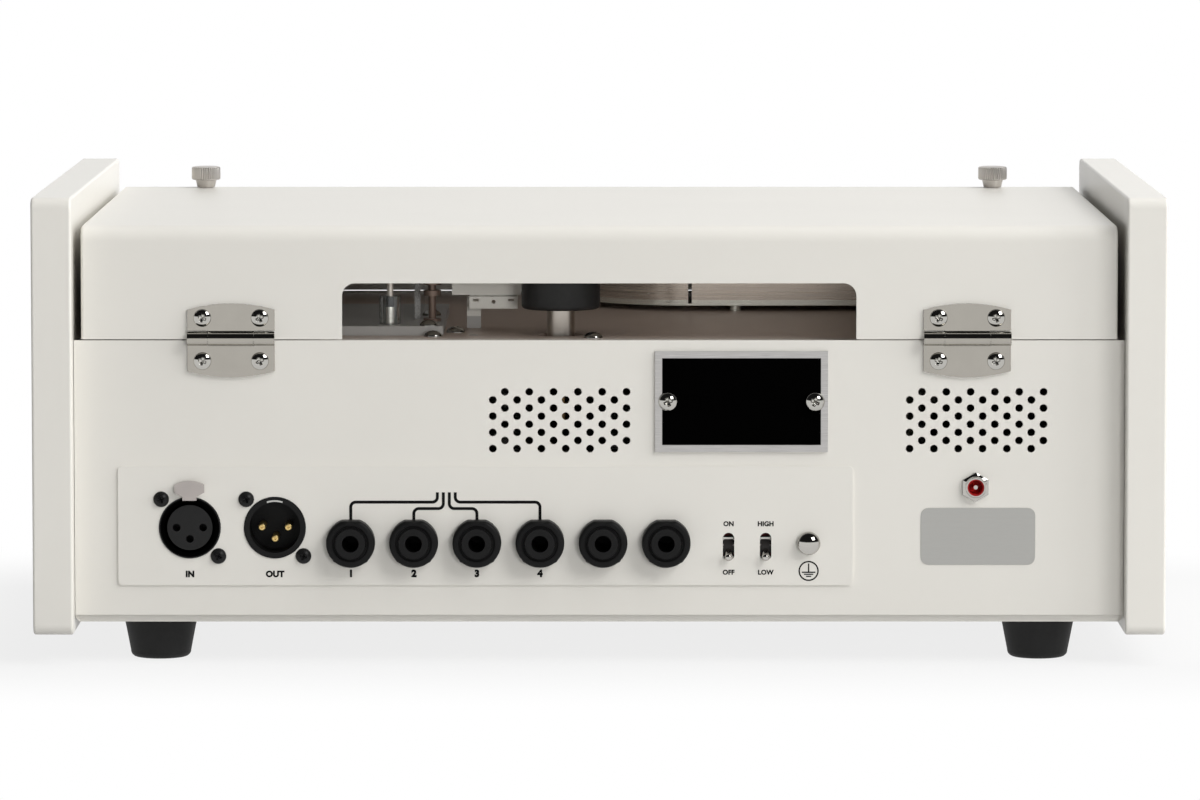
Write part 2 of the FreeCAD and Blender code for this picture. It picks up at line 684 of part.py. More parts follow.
def outside(axis, value):
    """A test for edges whose middle lies beyond a value on either side of the middle."""
    number = length(value).number
    return lambda edge: not edge.Degenerated and abs(getattr(edge.CenterOfMass, axis)) > number


def dome(half, rise):
    """The radius of an arc that rises so far over half of its chord."""
    return (half * half + rise * rise) / (2 * rise)


def links(name, master, places):
    """Links to a master body at (spot, rotation) places."""
    found = []
    for number, (spot, rotation) in enumerate(places, start=1):
        link = document.addObject("App::Link", f"{name}_{number}")
        link.LinkedObject = master
        place(link, spot, rotation)
        found.append(link)
    return found


def group(name, members):
    """A sub-part of several solids."""
    compound = document.addObject("Part::Compound", name)
    compound.Label = name
    compound.Links = members
    return compound


def copies(name, master, places):
    """A sub-part of identical solids: links to a master body at (spot, rotation) places."""
    return group(name, links(name, master, places))


document = FreeCAD.newDocument("tape_echo")
s = Sheet(document, SIZES)

half_width = s.overall_width / 2
inner_half = half_width - s.cheek_thickness
# The origin is under the middle of the whole unit, and the mode selector reaches furthest forward,
# so the chassis lies a little behind the middle.
half_chassis = s.chassis_depth / 2
chassis_middle = (half_chassis + s.knob_gap + s.selector_height - s.overall_depth / 2) / 2
rear_face = chassis_middle + half_chassis
front_face = chassis_middle - half_chassis
panel_inside = s.sheet_thickness + s.panel_gap
panel_half = inner_half - s.panel_gap
lip_half = inner_half - s.sheet_thickness - s.panel_gap
deck_level = s.parting_level - s.deck_drop
deck_underside = deck_level - s.sheet_thickness
lid_half = inner_half - s.lid_side_gap
lid_edge = s.parting_level + s.parting_gap
lid_underside = s.lid_level - s.sheet_thickness
flange_middle = inner_half - s.side_flange / 2
foot_lines = (rear_face - s.foot_inset, front_face + s.foot_inset)
deck_rows = (chassis_middle - s.deck_screw_spread, chassis_middle, chassis_middle + s.deck_screw_spread)
pin_out = s.barrel / 2 + s.moving_gap
plate_face = s.connector_plate_thickness
roller_depth = rear_face - s.roller_inset
arm_pivot_depth = rear_face - s.arm_pivot_inset
motor_depth = rear_face - s.motor_inset
front_run = rear_face - s.guide_inset
capstan_depth = roller_depth - s.roller / 2 - s.tape_gap - s.capstan / 2
tape_line = capstan_depth + s.capstan / 2 + s.tape_gap / 2
tape_right = inner_half - s.guide_clearance
arm_high = deck_underside - s.arm_drop
arm_low = arm_high - s.arm_thickness
plate_top = deck_level + s.head_plate_height
tank_back = rear_face - s.tank_inset
tank_front = rear_face - s.tank_front
tank_underside = deck_level + s.tank_lift
guide_half = s.guide / 2 + s.moving_gap + s.tape_thickness / 2
jack_places = [s.jack_first + s.jack_pitch * number for number in range(6)]
xlr_places = (s.xlr_input_place, s.xlr_output_place)
switch_places = (s.tape_stop_place, s.output_level_place)
knob_places = [(name, s.knob_first + s.knob_pitch * column, getattr(s, row))
               for name, column, row in CONTROLS]
knob_places += [("input_one_knob", s.input_knob_place, s.knob_upper),
                ("input_two_knob", s.input_knob_place, s.knob_lower)]
screw_hole = s.screw_shank + 2 * s.screw_slack
deck_screws = [(getattr(s, f"deck_screw_{number}_across"), rear_face - getattr(s, f"deck_screw_{number}_inset"))
               for number in (1, 2, 3)]
plate_screws = [(s.plate_screw_across, rear_face - s.plate_screw_inset),
                (s.plate_screw_across, rear_face - s.plate_screw_inset - s.plate_screw_pitch)]
hinge_hole = s.hinge_screw_shank + 2 * s.screw_slack
xlr_screw_hole = s.xlr_screw_shank + 2 * s.screw_slack


def side_cheek(name, inner, outer):
    """A board with rounded corners that stands a little proud of the chassis all round."""
    piece = Piece(name)
    half = s.overall_depth / 2
    draw = rectangle(chassis_middle - half, s.cheek_clearance, chassis_middle + half, s.overall_height)
    piece.pad(draw, inner, outer, "YZ_Plane")
    piece.soften(runs_along("x"), s.cheek_corner)
    piece.soften(lambda edge: not runs_along("x")(edge), s.cheek_edge)


def base_tray():
    """The folded tray: a floor, two side walls and a flange on each wall that carries the deck."""
    piece = Piece("base_tray")
    top = deck_underside
    wall = s.sheet_thickness
    low = s.foot_height
    inside = inner_half - wall
    flange = inner_half - s.side_flange
    profile = [(-inner_half, low), (inner_half, low), (inner_half, top), (flange, top),
               (flange, top - wall), (inside, top - wall), (inside, low + wall),
               (-inside, low + wall), (-inside, top - wall), (-flange, top - wall),
               (-flange, top), (-inner_half, top)]
    piece.pad(shape(*profile), panel_inside - rear_face, -front_face - panel_inside, "XZ_Plane")
    bends = both(runs_along("y"), middle_at("z", low))
    piece.soften(bends, s.panel_bend)
    piece.soften(both(runs_along("y"), middle_at("z", low + wall)), s.panel_bend - wall)
    lip = s.panel_lip + s.panel_gap
    for start, end in ((front_face, front_face + lip), (rear_face - lip, rear_face)):
        piece.cut(rectangle(-lip_half, start, lip_half, end), low - 1, low + s.panel_bend)
    foot_holes = [(side * s.foot_spread, line) for side in (1, -1) for line in foot_lines]
    piece.cut(circles(foot_holes, screw_hole), low - 1, low + 2 * wall)
    across = s.board_width / 2 - s.board_inset
    along = s.board_depth / 2 - s.board_inset
    pillars = [(s.board_across + side * across, chassis_middle + end * along)
               for side in (1, -1) for end in (1, -1)]
    piece.pad(circles(pillars, s.board_pillar), low + wall, low + wall + s.board_lift)
    deck_holes = [(side * flange_middle, row) for side in (1, -1) for row in deck_rows]
    piece.cut(circles(deck_holes, screw_hole), top - 2 * wall, top + 1)


def panel(piece):
    """An upright panel with a lip folded under; own y is up, own z is out, the face at z = 0."""
    wall = s.sheet_thickness
    low = s.foot_height
    bend = s.panel_bend
    inner = bend - wall
    profile = shape((low, -s.panel_lip), (low, -bend), (low + bend, 0, bend), (s.parting_level, 0),
                    (s.parting_level, -wall), (low + bend, -wall), (low + wall, -bend, -inner),
                    (low + wall, -s.panel_lip))
    piece.pad(profile, -panel_half, panel_half, "YZ_Plane")
    for side in (1, -1):
        ends = sorted((side * lip_half, side * (panel_half + 1)), key=lambda end: end.number)
        cut = rectangle(ends[0], low - 1, ends[1], low + 2 * bend)
        piece.cut(cut, -s.panel_lip - 1, -wall)


def connector_holes(piece, low, high):
    """The cut-outs that the rear panel and the connector plate share."""
    spots = [(across, s.xlr_level) for across in xlr_places]
    piece.cut(circles(spots, s.xlr_hole), low, high)
    step = s.xlr_screw_offset
    screws = [(across + side * step, s.xlr_level - side * step)
              for across in xlr_places for side in (-1, 1)]
    piece.cut(circles(screws, xlr_screw_hole), low, high)
    jacks = [(across, s.jack_level) for across in jack_places]
    piece.cut(circles(jacks, s.jack_bush + 2 * s.screw_slack), low, high)
    for across in switch_places:
        piece.cut(lambda sketch, spot=across: slot(sketch, spot, s.slot_level, s.slot_width, s.slot_height),
                  low, high)
    piece.cut(circles([(s.earth_place, s.earth_level)], s.screw_shank + 2 * s.pin_fit), low, high)


def rear_panel():
    """The connector panel, with its cut-outs and two fields of vent holes."""
    piece = Piece("rear_panel", (0, rear_face, 0), REAR)
    panel(piece)
    low, high = -s.sheet_thickness - 1, length(1)
    connector_holes(piece, low, high)
    inlet = [(s.inlet_place, s.inlet_level)]
    piece.cut(circles(inlet, s.inlet_barrel + 2 * s.screw_slack), low, high)
    middle = (s.name_bottom + s.name_top) / 2
    name_screws = [(s.name_left + s.name_screw_inset, middle), (s.name_right - s.name_screw_inset, middle)]
    piece.cut(circles(name_screws, screw_hole), low, high)
    hinge_screws = [(side * s.hinge_spread + end * s.hinge_screw_spread, s.hinge_screw_lower)
                    for side in (1, -1) for end in (1, -1)]
    piece.cut(circles(hinge_screws, hinge_hole), low, high)
    vents = []
    for middle in (s.vent_middle_left, s.vent_right_left):
        for number in range(6):
            across = middle + (number - 2.5) * s.vent_pitch
            vents.append((across + s.vent_pitch / 2, s.vent_top))
            vents.append((across, s.vent_top - s.vent_row))
    holes = piece.cut(circles(vents, s.vent_hole), low, high)
    piece.row(holes, "Y_Axis", 2 * s.vent_row, 4)


def front_panel():
    """The control panel, with a hole for each control, the meter, the lamp and the switch."""
    piece = Piece("front_panel", (0, front_face, 0), FRONT)
    panel(piece)
    low, high = -s.sheet_thickness - 1, length(1)
    controls = [(across, level) for name, across, level in knob_places]
    controls.append((s.selector_place, s.selector_level))
    piece.cut(circles(controls, s.pot_bush + 2 * s.screw_slack), low, high)
    piece.cut(circles([(s.lamp_place, s.lamp_level)], s.lamp_bezel + 2 * s.screw_slack), low, high)
    wide = s.meter_width / 2 - s.meter_rim / 2 + s.panel_gap
    tall = s.meter_height / 2 - s.meter_rim / 2 + s.panel_gap
    piece.cut(rectangle(s.meter_place - wide, s.meter_level - tall,
                        s.meter_place + wide, s.meter_level + tall), low, high)
    piece.cut(lambda sketch: slot(sketch, s.power_place, s.lamp_level, s.power_slot_width,
                                  s.power_slot_height), low, high)


def deck_plate():
    """The plate that carries the tape transport and rests on the tray's flanges."""
    piece = Piece("deck_plate")
    piece.pad(rectangle(-lip_half, front_face + panel_inside, lip_half, rear_face - panel_inside),
              deck_underside, deck_level)
    screws = [(side * flange_middle, row) for side in (1, -1) for row in deck_rows]
    screws += deck_screws + plate_screws + [(s.arm_pivot_across, arm_pivot_depth)]
    low, high = deck_underside - 1, deck_level + 1
    piece.cut(circles(screws, screw_hole), low, high)
    piece.cut(circles([(s.capstan_across, capstan_depth)], s.bearing_tube + 2 * s.screw_slack), low, high)
    piece.cut(circles([(s.capstan_across, roller_depth + s.arm_travel / 2)], s.arm_opening), low, high)


def lid_section(front, back, top, bend):
    """The section of the lid from front to back, with a bend at each upper corner."""
    return shape((front, lid_edge), (back, lid_edge), (back, top - bend), (back - bend, top, bend),
                 (front + bend, top), (front, top - bend, bend))


def lid_shell():
    """The folded lid: top, front, back and two sides, with a window in the back."""
    piece = Piece("lid_shell")
    wall = s.sheet_thickness
    piece.pad(lid_section(front_face, rear_face, s.lid_level, s.lid_bend), -lid_half, lid_half,
              "YZ_Plane")
    piece.soften(both(outside("x", lid_half - wall / 2), beyond("z", lid_edge + wall)), s.lid_seam)
    piece.cut(lid_section(front_face + wall, rear_face - wall, lid_underside, s.lid_bend - wall),
              wall - lid_half, lid_half - wall, "YZ_Plane")
    window = shape((-s.window_half, lid_edge - 1), (s.window_half, lid_edge - 1),
                   (s.window_half, s.window_level - s.window_corner),
                   (s.window_half - s.window_corner, s.window_level, s.window_corner),
                   (s.window_corner - s.window_half, s.window_level),
                   (-s.window_half, s.window_level - s.window_corner, s.window_corner))
    piece.cut(window, -rear_face - 1, 2 * wall - rear_face, "XZ_Plane")
    thumbs = [(side * s.thumb_spread, front_face + s.thumb_inset) for side in (1, -1)]
    piece.cut(circles(thumbs, s.thumb_neck + 2 * s.screw_slack), lid_underside - 1, s.lid_level + 1)
    screws = [(side * s.hinge_spread + end * s.hinge_screw_spread, s.hinge_screw_upper)
              for side in (1, -1) for end in (1, -1)]
    piece.cut(circles(screws, hinge_hole), -rear_face - 1, 2 * wall - rear_face, "XZ_Plane")


def rubber_feet():
    """Four tapered feet with a recess for the screw."""
    master = Piece("foot_master")
    bottom, top, edge = s.foot_bottom / 2, s.foot_top / 2, s.foot_edge
    recess, shank = s.foot_recess / 2, screw_hole / 2
    master.turn([(recess, 0), (bottom - edge, 0), (bottom, edge, edge), (top, s.foot_height),
                 (shank, s.foot_height), (shank, s.foot_floor), (recess, s.foot_floor)])
    spots = [(side * s.foot_spread, line, 0) for side in (1, -1) for line in foot_lines]
    copies("rubber_feet", master.body, [(spot, UPRIGHT) for spot in spots])


def pan_screw(name, head, height, shank, reach):
    """A pan-head screw: the head stands on z = 0 and the shank goes down."""
    master = Piece(name)
    rim = height * s.pan_rim
    crown = head / 2 * s.pan_crown
    shoulder = height * s.pan_shoulder
    master.turn([(0, -reach), (shank / 2, -reach), (shank / 2, 0), (head / 2, 0), (head / 2, rim),
                 (crown, shoulder, s.pan_round * head), (0, height, dome(crown, height - shoulder))])
    return master.body


def chassis_screws():
    """The screws of the feet, the deck, the head plate and the name plate, and the pinch arm's pivot."""
    master = pan_screw("chassis_screw_master", s.screw_head, s.screw_head_height, s.screw_shank,
                       s.screw_length)
    down = Rotation(Vector(1, 0, 0), 180)
    places = [((side * s.foot_spread, line, s.foot_floor), down)
              for side in (1, -1) for line in foot_lines]
    places += [((side * flange_middle, row, deck_level), UPRIGHT) for side in (1, -1) for row in deck_rows]
    middle = (s.name_bottom + s.name_top) / 2
    for across in (s.name_left + s.name_screw_inset, s.name_right - s.name_screw_inset):
        places.append(((-across, rear_face + s.name_thickness, middle), REAR))
    places += [((across, along, deck_level), UPRIGHT) for across, along in deck_screws]
    places += [((across, along, plate_top), UPRIGHT) for across, along in plate_screws]
    pivot = Piece("arm_pivot_screw_master")
    head, shoulder, thread = s.arm_pivot_head / 2, s.arm_pivot / 2, s.screw_shank / 2
    seat = arm_low - s.moving_gap
    foot = seat - s.arm_pivot_head_height
    pivot.turn([(0, foot), (head, foot), (head, seat), (shoulder, seat), (shoulder, deck_underside),
                (thread, deck_underside), (thread, deck_level), (0, deck_level)])
    group("chassis_screws", links("chassis_screw", master, places)
          + links("arm_pivot_screw", pivot.body, [((s.arm_pivot_across, arm_pivot_depth, 0), UPRIGHT)]))


def hinge_leaf(name, far, screws, knuckles):
    """One pair of hinge leaves: an arched plate on the panel, rolled into knuckles at the pin.

    knuckles are (from, to) stretches along the pin; the plate is cut back between them.
    """
    master = Piece(f"{name}_master")
    half = s.hinge_width / 2
    side = 1 if far.number > 0 else -1
    corner = far - side * s.leaf_arch
    radius = dome(half, s.leaf_arch)
    if side > 0:
        plate = shape((-half, 0), (half, 0), (half, corner), (0, far, radius), (-half, corner, radius))
    else:
        plate = shape((half, 0), (-half, 0), (-half, corner), (0, far, radius), (half, corner, radius))
    master.pad(plate, -pin_out, s.leaf_thickness - pin_out)
    relief = s.barrel / 2 + s.moving_gap
    low, high = sorted((length(0), side * relief), key=lambda end: end.number)
    for start, end in between(knuckles, half):
        master.cut(rectangle(start, low - 1 if side > 0 else low, end, high if side > 0 else high + 1),
                   -pin_out - 1, s.leaf_thickness)
    for start, end in knuckles:
        master.pad(circles([(0, 0)], s.barrel), start, end, "YZ_Plane")
    master.cut(circles([(0, 0)], s.hinge_pin + 2 * s.pin_fit), -half - 1, half + 1, "YZ_Plane")
    level = screws - s.pin_level
    spots = [(end * s.hinge_screw_spread, level) for end in (1, -1)]
    master.cut(circles(spots, hinge_hole), -pin_out - 1, s.leaf_thickness)
    places = [((side * s.hinge_spread, rear_face + pin_out, s.pin_level), REAR) for side in (1, -1)]
    copies(name, master.body, places)


def between(knuckles, half):
    """The stretches of a pin that the knuckles leave free."""
    if len(knuckles) == 1:
        start, end = knuckles[0]
        return [(-half - 1, start), (end, half + 1)]
    return [(knuckles[0][1], knuckles[1][0])]


def hinges():
    """Two butt hinges: leaves, pins and the screws of both leaves."""
    half = s.hinge_width / 2
    middle = s.knuckle / 2
    outer = middle + s.knuckle_gap
    hinge_leaf("hinge_lid_leaves", s.leaf_top - s.pin_level, s.hinge_screw_upper, [(-middle, middle)])
    hinge_leaf("hinge_base_leaves", s.leaf_bottom - s.pin_level, s.hinge_screw_lower,
               [(-half, -outer), (outer, half)])
    pin = Piece("hinge_pin_master")
    pin.pad(circles([(0, 0)], s.hinge_pin), -half, half, "YZ_Plane")
    places = [((side * s.hinge_spread, rear_face + pin_out, s.pin_level), REAR) for side in (1, -1)]
    copies("hinge_pins", pin.body, places)
    screw = pan_screw("hinge_screw_master", s.hinge_screw_head, s.hinge_screw_height,
                      s.hinge_screw_shank, s.hinge_screw_length)
    levels = (s.hinge_screw_upper, s.hinge_screw_lower)
    for name, level in zip(("hinge_lid_screws", "hinge_base_screws"), levels):
        spots = [(side * s.hinge_spread + end * s.hinge_screw_spread, rear_face + s.leaf_thickness, level)
                 for side in (1, -1) for end in (1, -1)]
        copies(name, screw, [(spot, REAR) for spot in spots])


def connector_plate():
    """The thin raised plate round the connectors."""
    piece = Piece("connector_plate", (0, rear_face, 0), REAR)
    piece.pad(rectangle(s.connector_left, s.connector_bottom, s.connector_right, s.connector_top),
              0, plate_face)
    piece.soften(runs_along("z"), s.plate_corner)
    connector_holes(piece, -1, plate_face + 1)


def name_plate():
    """A bare plate: a bright rim round a recessed dark field."""
    piece = Piece("name_plate", (0, rear_face, 0), REAR)
    piece.pad(rectangle(s.name_left, s.name_bottom, s.name_right, s.name_top), 0, s.name_thickness)
    rim = s.name_rim
    piece.cut(rectangle(s.name_left + rim, s.name_bottom + rim, s.name_right - rim, s.name_top - rim),
              s.name_thickness - s.name_recess, s.name_thickness + 1)
    middle = (s.name_bottom + s.name_top) / 2
    screws = [(s.name_left + s.name_screw_inset, middle), (s.name_right - s.name_screw_inset, middle)]
    piece.cut(circles(screws, screw_hole), -1, s.name_thickness + 1)
    seats = s.name_thickness - s.name_recess
    piece.pad(lambda sketch: [washer(sketch, spot) for spot in screws], seats, s.name_thickness)


def washer(sketch, spot):
    """The ring of a screw seat."""
    ring(sketch, *spot, s.screw_head + 2 * s.screw_slack)
    ring(sketch, *spot, screw_hole)


def xlr_housing(name, across):
    """An XLR housing: a barrel through the panel with a flange behind it."""
    piece = Piece(name, (-across, rear_face, s.xlr_level), REAR)
    wide, tall = s.xlr_flange_width / 2, s.xlr_flange_height / 2
    behind = -s.sheet_thickness
    piece.pad(rectangle(-wide, -tall, wide, tall), behind - s.xlr_flange_thickness, behind)
    piece.pad(circles([(0, 0)], s.xlr_hole - 2 * s.xlr_slack), behind - s.xlr_depth, s.xlr_proud)
    step = s.xlr_screw_offset
    piece.cut(circles([(-step, step), (step, -step)], xlr_screw_hole),
              behind - s.xlr_flange_thickness - 1, behind + 0.5)
    return piece


def contact_spots():
    """The three contacts of an XLR connector, about its middle."""
    return [(-s.xlr_pin_spread, length(0)), (s.xlr_pin_spread, length(0)), (length(0), -s.xlr_pin_drop)]


def xlr_input():
    """The input socket, with a groove round its insert, and its release tab."""
    piece = xlr_housing("xlr_input_socket", s.xlr_input_place)
    face = s.xlr_proud
    piece.groove([(s.xlr_insert / 2, face + 1), (s.xlr_insert / 2, face - s.xlr_contact_depth),
                  (s.xlr_cavity / 2, face - s.xlr_contact_depth), (s.xlr_cavity / 2, face + 1)])
    piece.cut(circles([(0, 0)], s.xlr_insert + 0.5), face - 0.5, face + 1)
    piece.cut(circles(contact_spots(), s.xlr_contact), face - s.xlr_contact_depth, face)
    rim = s.xlr_hole / 2
    stem_top = rim - s.moving_gap
    stem_low = stem_top - s.tab_stem
    neck = s.tab_neck / 2
    gap = s.moving_gap
    piece.cut(rectangle(-neck - gap, stem_low - gap, neck + gap, rim),
              -s.tab_stem_depth - s.tab_travel - gap, face + 1)
    tab = Piece("xlr_release_tab", (-s.xlr_input_place, rear_face + plate_face, s.xlr_level), REAR)
    low, high = s.tab_bottom, s.tab_bottom + s.tab_height
    wide = s.tab_width / 2
    bevel = s.tab_height / 4
    back = s.tab_travel + s.moving_gap
    arch = dome(wide, bevel)
    tab.pad(shape((-neck, low), (neck, low), (wide, low + bevel), (wide, high - bevel),
                  (length(0), high, arch), (-wide, high - bevel, arch), (-wide, low + bevel)),
            back, back + s.tab_thickness)
    waist = neck - s.moving_gap
    tab.pad(rectangle(-waist, stem_low, waist, low + bevel), back, back + s.tab_thickness)
    tab.pad(rectangle(-waist, stem_low, waist, stem_low + s.tab_stem / 2), -s.tab_stem_depth - plate_face,
            back + s.tab_thickness)


def xlr_output():
    """The output connector: an open shell with three pins."""
    piece = xlr_housing("xlr_output_socket", s.xlr_output_place)
    face = s.xlr_proud
    piece.cut(circles([(0, 0)], s.xlr_cavity), face - s.xlr_cavity_depth, face + 1)
    floor = face - s.xlr_cavity_depth
    piece.cut(circles(contact_spots(), s.xlr_pin + 2 * s.pin_fit), floor - 4, floor + 1)
    pins = Piece("xlr_output_pins", (-s.xlr_output_place, rear_face, s.xlr_level), REAR)
    pins.pad(circles(contact_spots(), s.xlr_pin), floor - 4, -s.xlr_pin_sink)
    pins.soften(beyond("z", -2 * s.xlr_pin_sink), s.xlr_pin_round)


def xlr_screws():
    """The black screws of both XLR connectors."""
    master = pan_screw("xlr_screw_master", s.xlr_screw_head, s.xlr_screw_height, s.xlr_screw_shank,
                       s.xlr_screw_length)
    step = s.xlr_screw_offset
    places = [((-(across + side * step), rear_face + plate_face, s.xlr_level - side * step), REAR)
              for across in xlr_places for side in (-1, 1)]
    copies("xlr_screws", master, places)


def jacks():
    """Six jack sockets with their nuts."""
    socket = Piece("jack_socket_master")
    half = s.jack_body / 2
    behind = -s.sheet_thickness
    socket.pad(rectangle(-half, -half, half, half), behind - s.jack_body_depth, behind)
    socket.pad(circles([(0, 0)], s.jack_bush), behind - 1, s.jack_bush_proud)
    socket.cut(circles([(0, 0)], s.jack_bore), behind - s.jack_body_depth + 2, s.jack_bush_proud + 1)
    spots = [(-across, rear_face, s.jack_level) for across in jack_places]
    copies("jack_sockets", socket.body, [(spot, REAR) for spot in spots])
    nut = Piece("jack_nut_master")
    rim, bore, edge = s.jack_nut / 2, s.jack_bush / 2 + s.screw_slack, s.jack_nut_edge
    low, high = plate_face, plate_face + s.jack_nut_height
    nut.turn([(bore, low), (rim, low), (rim, high - edge), (rim - edge, high, edge),
              (rim - 3 * edge, high), (bore + edge / 2, high - edge / 2), (bore, high - edge / 2)])
    copies("jack_nuts", nut.body, [(spot, REAR) for spot in spots])


def switch_housing(name, wide, tall, well):
    """The body of a toggle switch behind its slot: a box with a well, and holes for the lever's axle."""
    piece = Piece(name)
    behind = -s.sheet_thickness
    wall = s.switch_wall
    piece.pad(rectangle(-wide / 2, -tall / 2, wide / 2, tall / 2), behind - s.switch_depth, behind)
    piece.cut(rectangle(wall - wide / 2, wall - tall / 2, wide / 2 - wall, tall / 2 - wall),
              behind - well, behind + 1)
    axle = circles([(0, behind - s.switch_well)], s.switch_axle + 2 * s.pin_fit)
    piece.cut(axle, -wide / 2 - 1, wide / 2 + 1, "YZ_Plane")
    return piece.body


def switch_lever(name, spot, rotation, sizes, wide):
    """A round lever that widens to a ball, tilted to its rest position, with its axle at the root."""
    root, tip, reach = sizes
    ball = tip / 2
    slant = math.radians(s.lever_shoulder.number)
    lever = Piece(name, spot, rotation * Rotation(Vector(1, 0, 0), s.lever_tilt.number))
    neck = (ball * math.sin(slant), reach - ball * math.cos(slant))
    lever.turn([(0, -root / 2), (root / 2, -root / 2), neck, (0, reach + ball, ball)])
    end = wide / 2 - s.moving_gap
    lever.pad(circles([(0, 0)], s.switch_axle), -end, end, "YZ_Plane")


def toggle_switches():
    """Bodies of the three toggle switches, and their levers."""
    power_wide = s.power_slot_width + 2 * s.switch_wall + 4
    power_tall = s.power_slot_height + 2 * s.switch_wall + 6
    body = switch_housing("rear_switch_master", s.switch_width, s.switch_height,
                          s.switch_well + s.lever_root)
    power = switch_housing("power_switch_master", power_wide, power_tall,
                           s.switch_well + s.power_lever_root)
    group = copies("toggle_switch_bodies", body,
                   [((-across, rear_face, s.slot_level), REAR) for across in switch_places])
    link = document.addObject("App::Link", "power_switch_body")
    link.LinkedObject = power
    place(link, (s.power_place, front_face, s.lamp_level), FRONT)
    group.Links = group.Links + [link]
    pivot = s.sheet_thickness + s.switch_well
    sizes = (s.lever_root, s.lever_tip, s.lever_length)
    for name, across in zip(("tape_stop_lever", "output_level_lever"), switch_places):
        switch_lever(name, (-across, rear_face - pivot, s.slot_level), REAR, sizes, s.switch_width)
    sizes = (s.power_lever_root, s.power_lever_tip, s.power_lever_length)
    switch_lever("power_lever", (s.power_place, front_face + pivot, s.lamp_level), FRONT, sizes, power_wide)


def earth_terminal():
    """The domed earth screw, which turns in the panel."""
    piece = Piece("earth_terminal", (-s.earth_place, rear_face + plate_face, s.earth_level), REAR)
    rim, edge, low = s.earth_head / 2, s.earth_edge, s.moving_gap
    piece.turn([(0, -s.screw_length), (s.screw_shank / 2, -s.screw_length), (s.screw_shank / 2, low),
                (rim, low), (rim, s.earth_proud - edge), (rim - edge, s.earth_proud, edge),
                (0, s.earth_proud)])


def supply_inlet():
    """The threaded supply inlet: barrel with nut and centre pin, and the red insulator."""
    spot = (-s.inlet_place, rear_face, s.inlet_level)
    insulator = Piece("dc_inlet_insulator", spot, REAR)
    back = -s.sheet_thickness - s.inlet_depth
    mouth = s.inlet_proud - 0.4
    outer, throat, pin = s.inlet_insulator / 2, s.inlet_throat / 2, s.inlet_pin / 2
    floor = mouth - s.inlet_socket_depth
    insulator.turn([(pin, back + 1), (outer, back + 1), (outer, mouth), (throat, mouth),
                    (throat, floor), (pin, floor)])
    barrel = Piece("dc_inlet_barrel", spot, REAR)
    barrel.turn([(outer, back), (s.inlet_barrel / 2, back), (s.inlet_barrel / 2, s.inlet_proud),
                 (outer, s.inlet_proud)])
    reach = s.inlet_nut / math.sqrt(3)
    half = s.inlet_nut / 2
    hexagon = [(length(0), -reach), (half, -reach / 2), (half, reach / 2), (length(0), reach),
               (-half, reach / 2), (-half, -reach / 2)]
    bore = s.inlet_barrel / 2 + 0.01

    def nut(sketch):
        outline(sketch, hexagon)
        ring(sketch, length(0), length(0), 2 * bore)

    barrel.pad(nut, 0, s.inlet_nut_height)
    barrel.pad(circles([(0, 0)], s.inlet_pin), back - 3, mouth - 1)


def thumbscrew(name, side):
    """A knurled lid screw: head, shoulder on the lid, neck through it and a threaded end."""
    spot = (side * s.thumb_spread, front_face + s.thumb_inset, s.lid_level)
    piece = Piece(name, spot)
    head, shoulder, foot, neck, shank = (part / 2 for part in (s.thumb_head, s.thumb_shoulder, s.thumb_foot,
                                                               s.thumb_neck, s.thumb_shank))
    seat = s.moving_gap
    rise = seat + s.thumb_shoulder_height
    top = rise + s.thumb_head_height
    end = -s.sheet_thickness - s.thumb_reach
    bevel = s.thumb_head_height / 6
    piece.turn([(0, end), (shank, end), (shank, -s.sheet_thickness), (neck, -s.sheet_thickness),
                (neck, seat), (foot, seat), (shoulder, rise), (head - bevel, rise),
                (head, rise + bevel), (head, top - bevel), (head - bevel, top), (0, top)])


def lid_pillars():
    """Two pillars on the deck that take the thumbscrews and carry the closed lid."""
    master = Piece("lid_pillar_master")
    outer, bore = s.pillar_width / 2, s.pillar_bore / 2
    top = lid_underside - s.moving_gap
    base = outer + 2
    foot = deck_level + 2
    floor = top - s.pillar_bore_depth
    master.turn([(0, deck_level), (base, deck_level), (base, foot), (outer, foot), (outer, top),
                 (bore, top), (bore, floor), (0, floor)])
    spots = [(side * s.thumb_spread, front_face + s.thumb_inset, 0) for side in (1, -1)]
    copies("lid_pillars", master.body, [(spot, UPRIGHT) for spot in spots])


def knob(name, across, level, skirt, cap, height):
    """A skirted knob with a fluted grip, and its shaft into the control behind the panel."""
    piece = Piece(name, (across, front_face, level), FRONT)
    low = s.knob_gap
    step = low + s.knob_skirt_height
    top = low + height
    piece.turn([(0, low), (skirt / 2, low), (skirt / 2, step - 1), (skirt / 2 - 1, step),
                (cap / 2 + 1, step + 1), (cap / 2, top - 1), (cap / 2 - 1, top), (0, top)])
    flute = cap * 0.09
    spots = [(cap / 2 * math.sin(turn * math.pi / 6), cap / 2 * math.cos(turn * math.pi / 6))
             for turn in range(1, 12)]
    piece.cut(circles(spots, flute), step + 2, top + 1)
    piece.pad(circles([(0, 0)], s.pot_shaft), -s.shaft_reach, low + 1)


def knobs():
    """The mode selector and the small knobs."""
    for name, across, level in knob_places:
        knob(name, across, level, s.knob_skirt, s.knob_cap, s.knob_height)
    knob("mode_selector_knob", s.selector_place, s.selector_level, s.selector_skirt, s.selector_cap,
         s.selector_height)


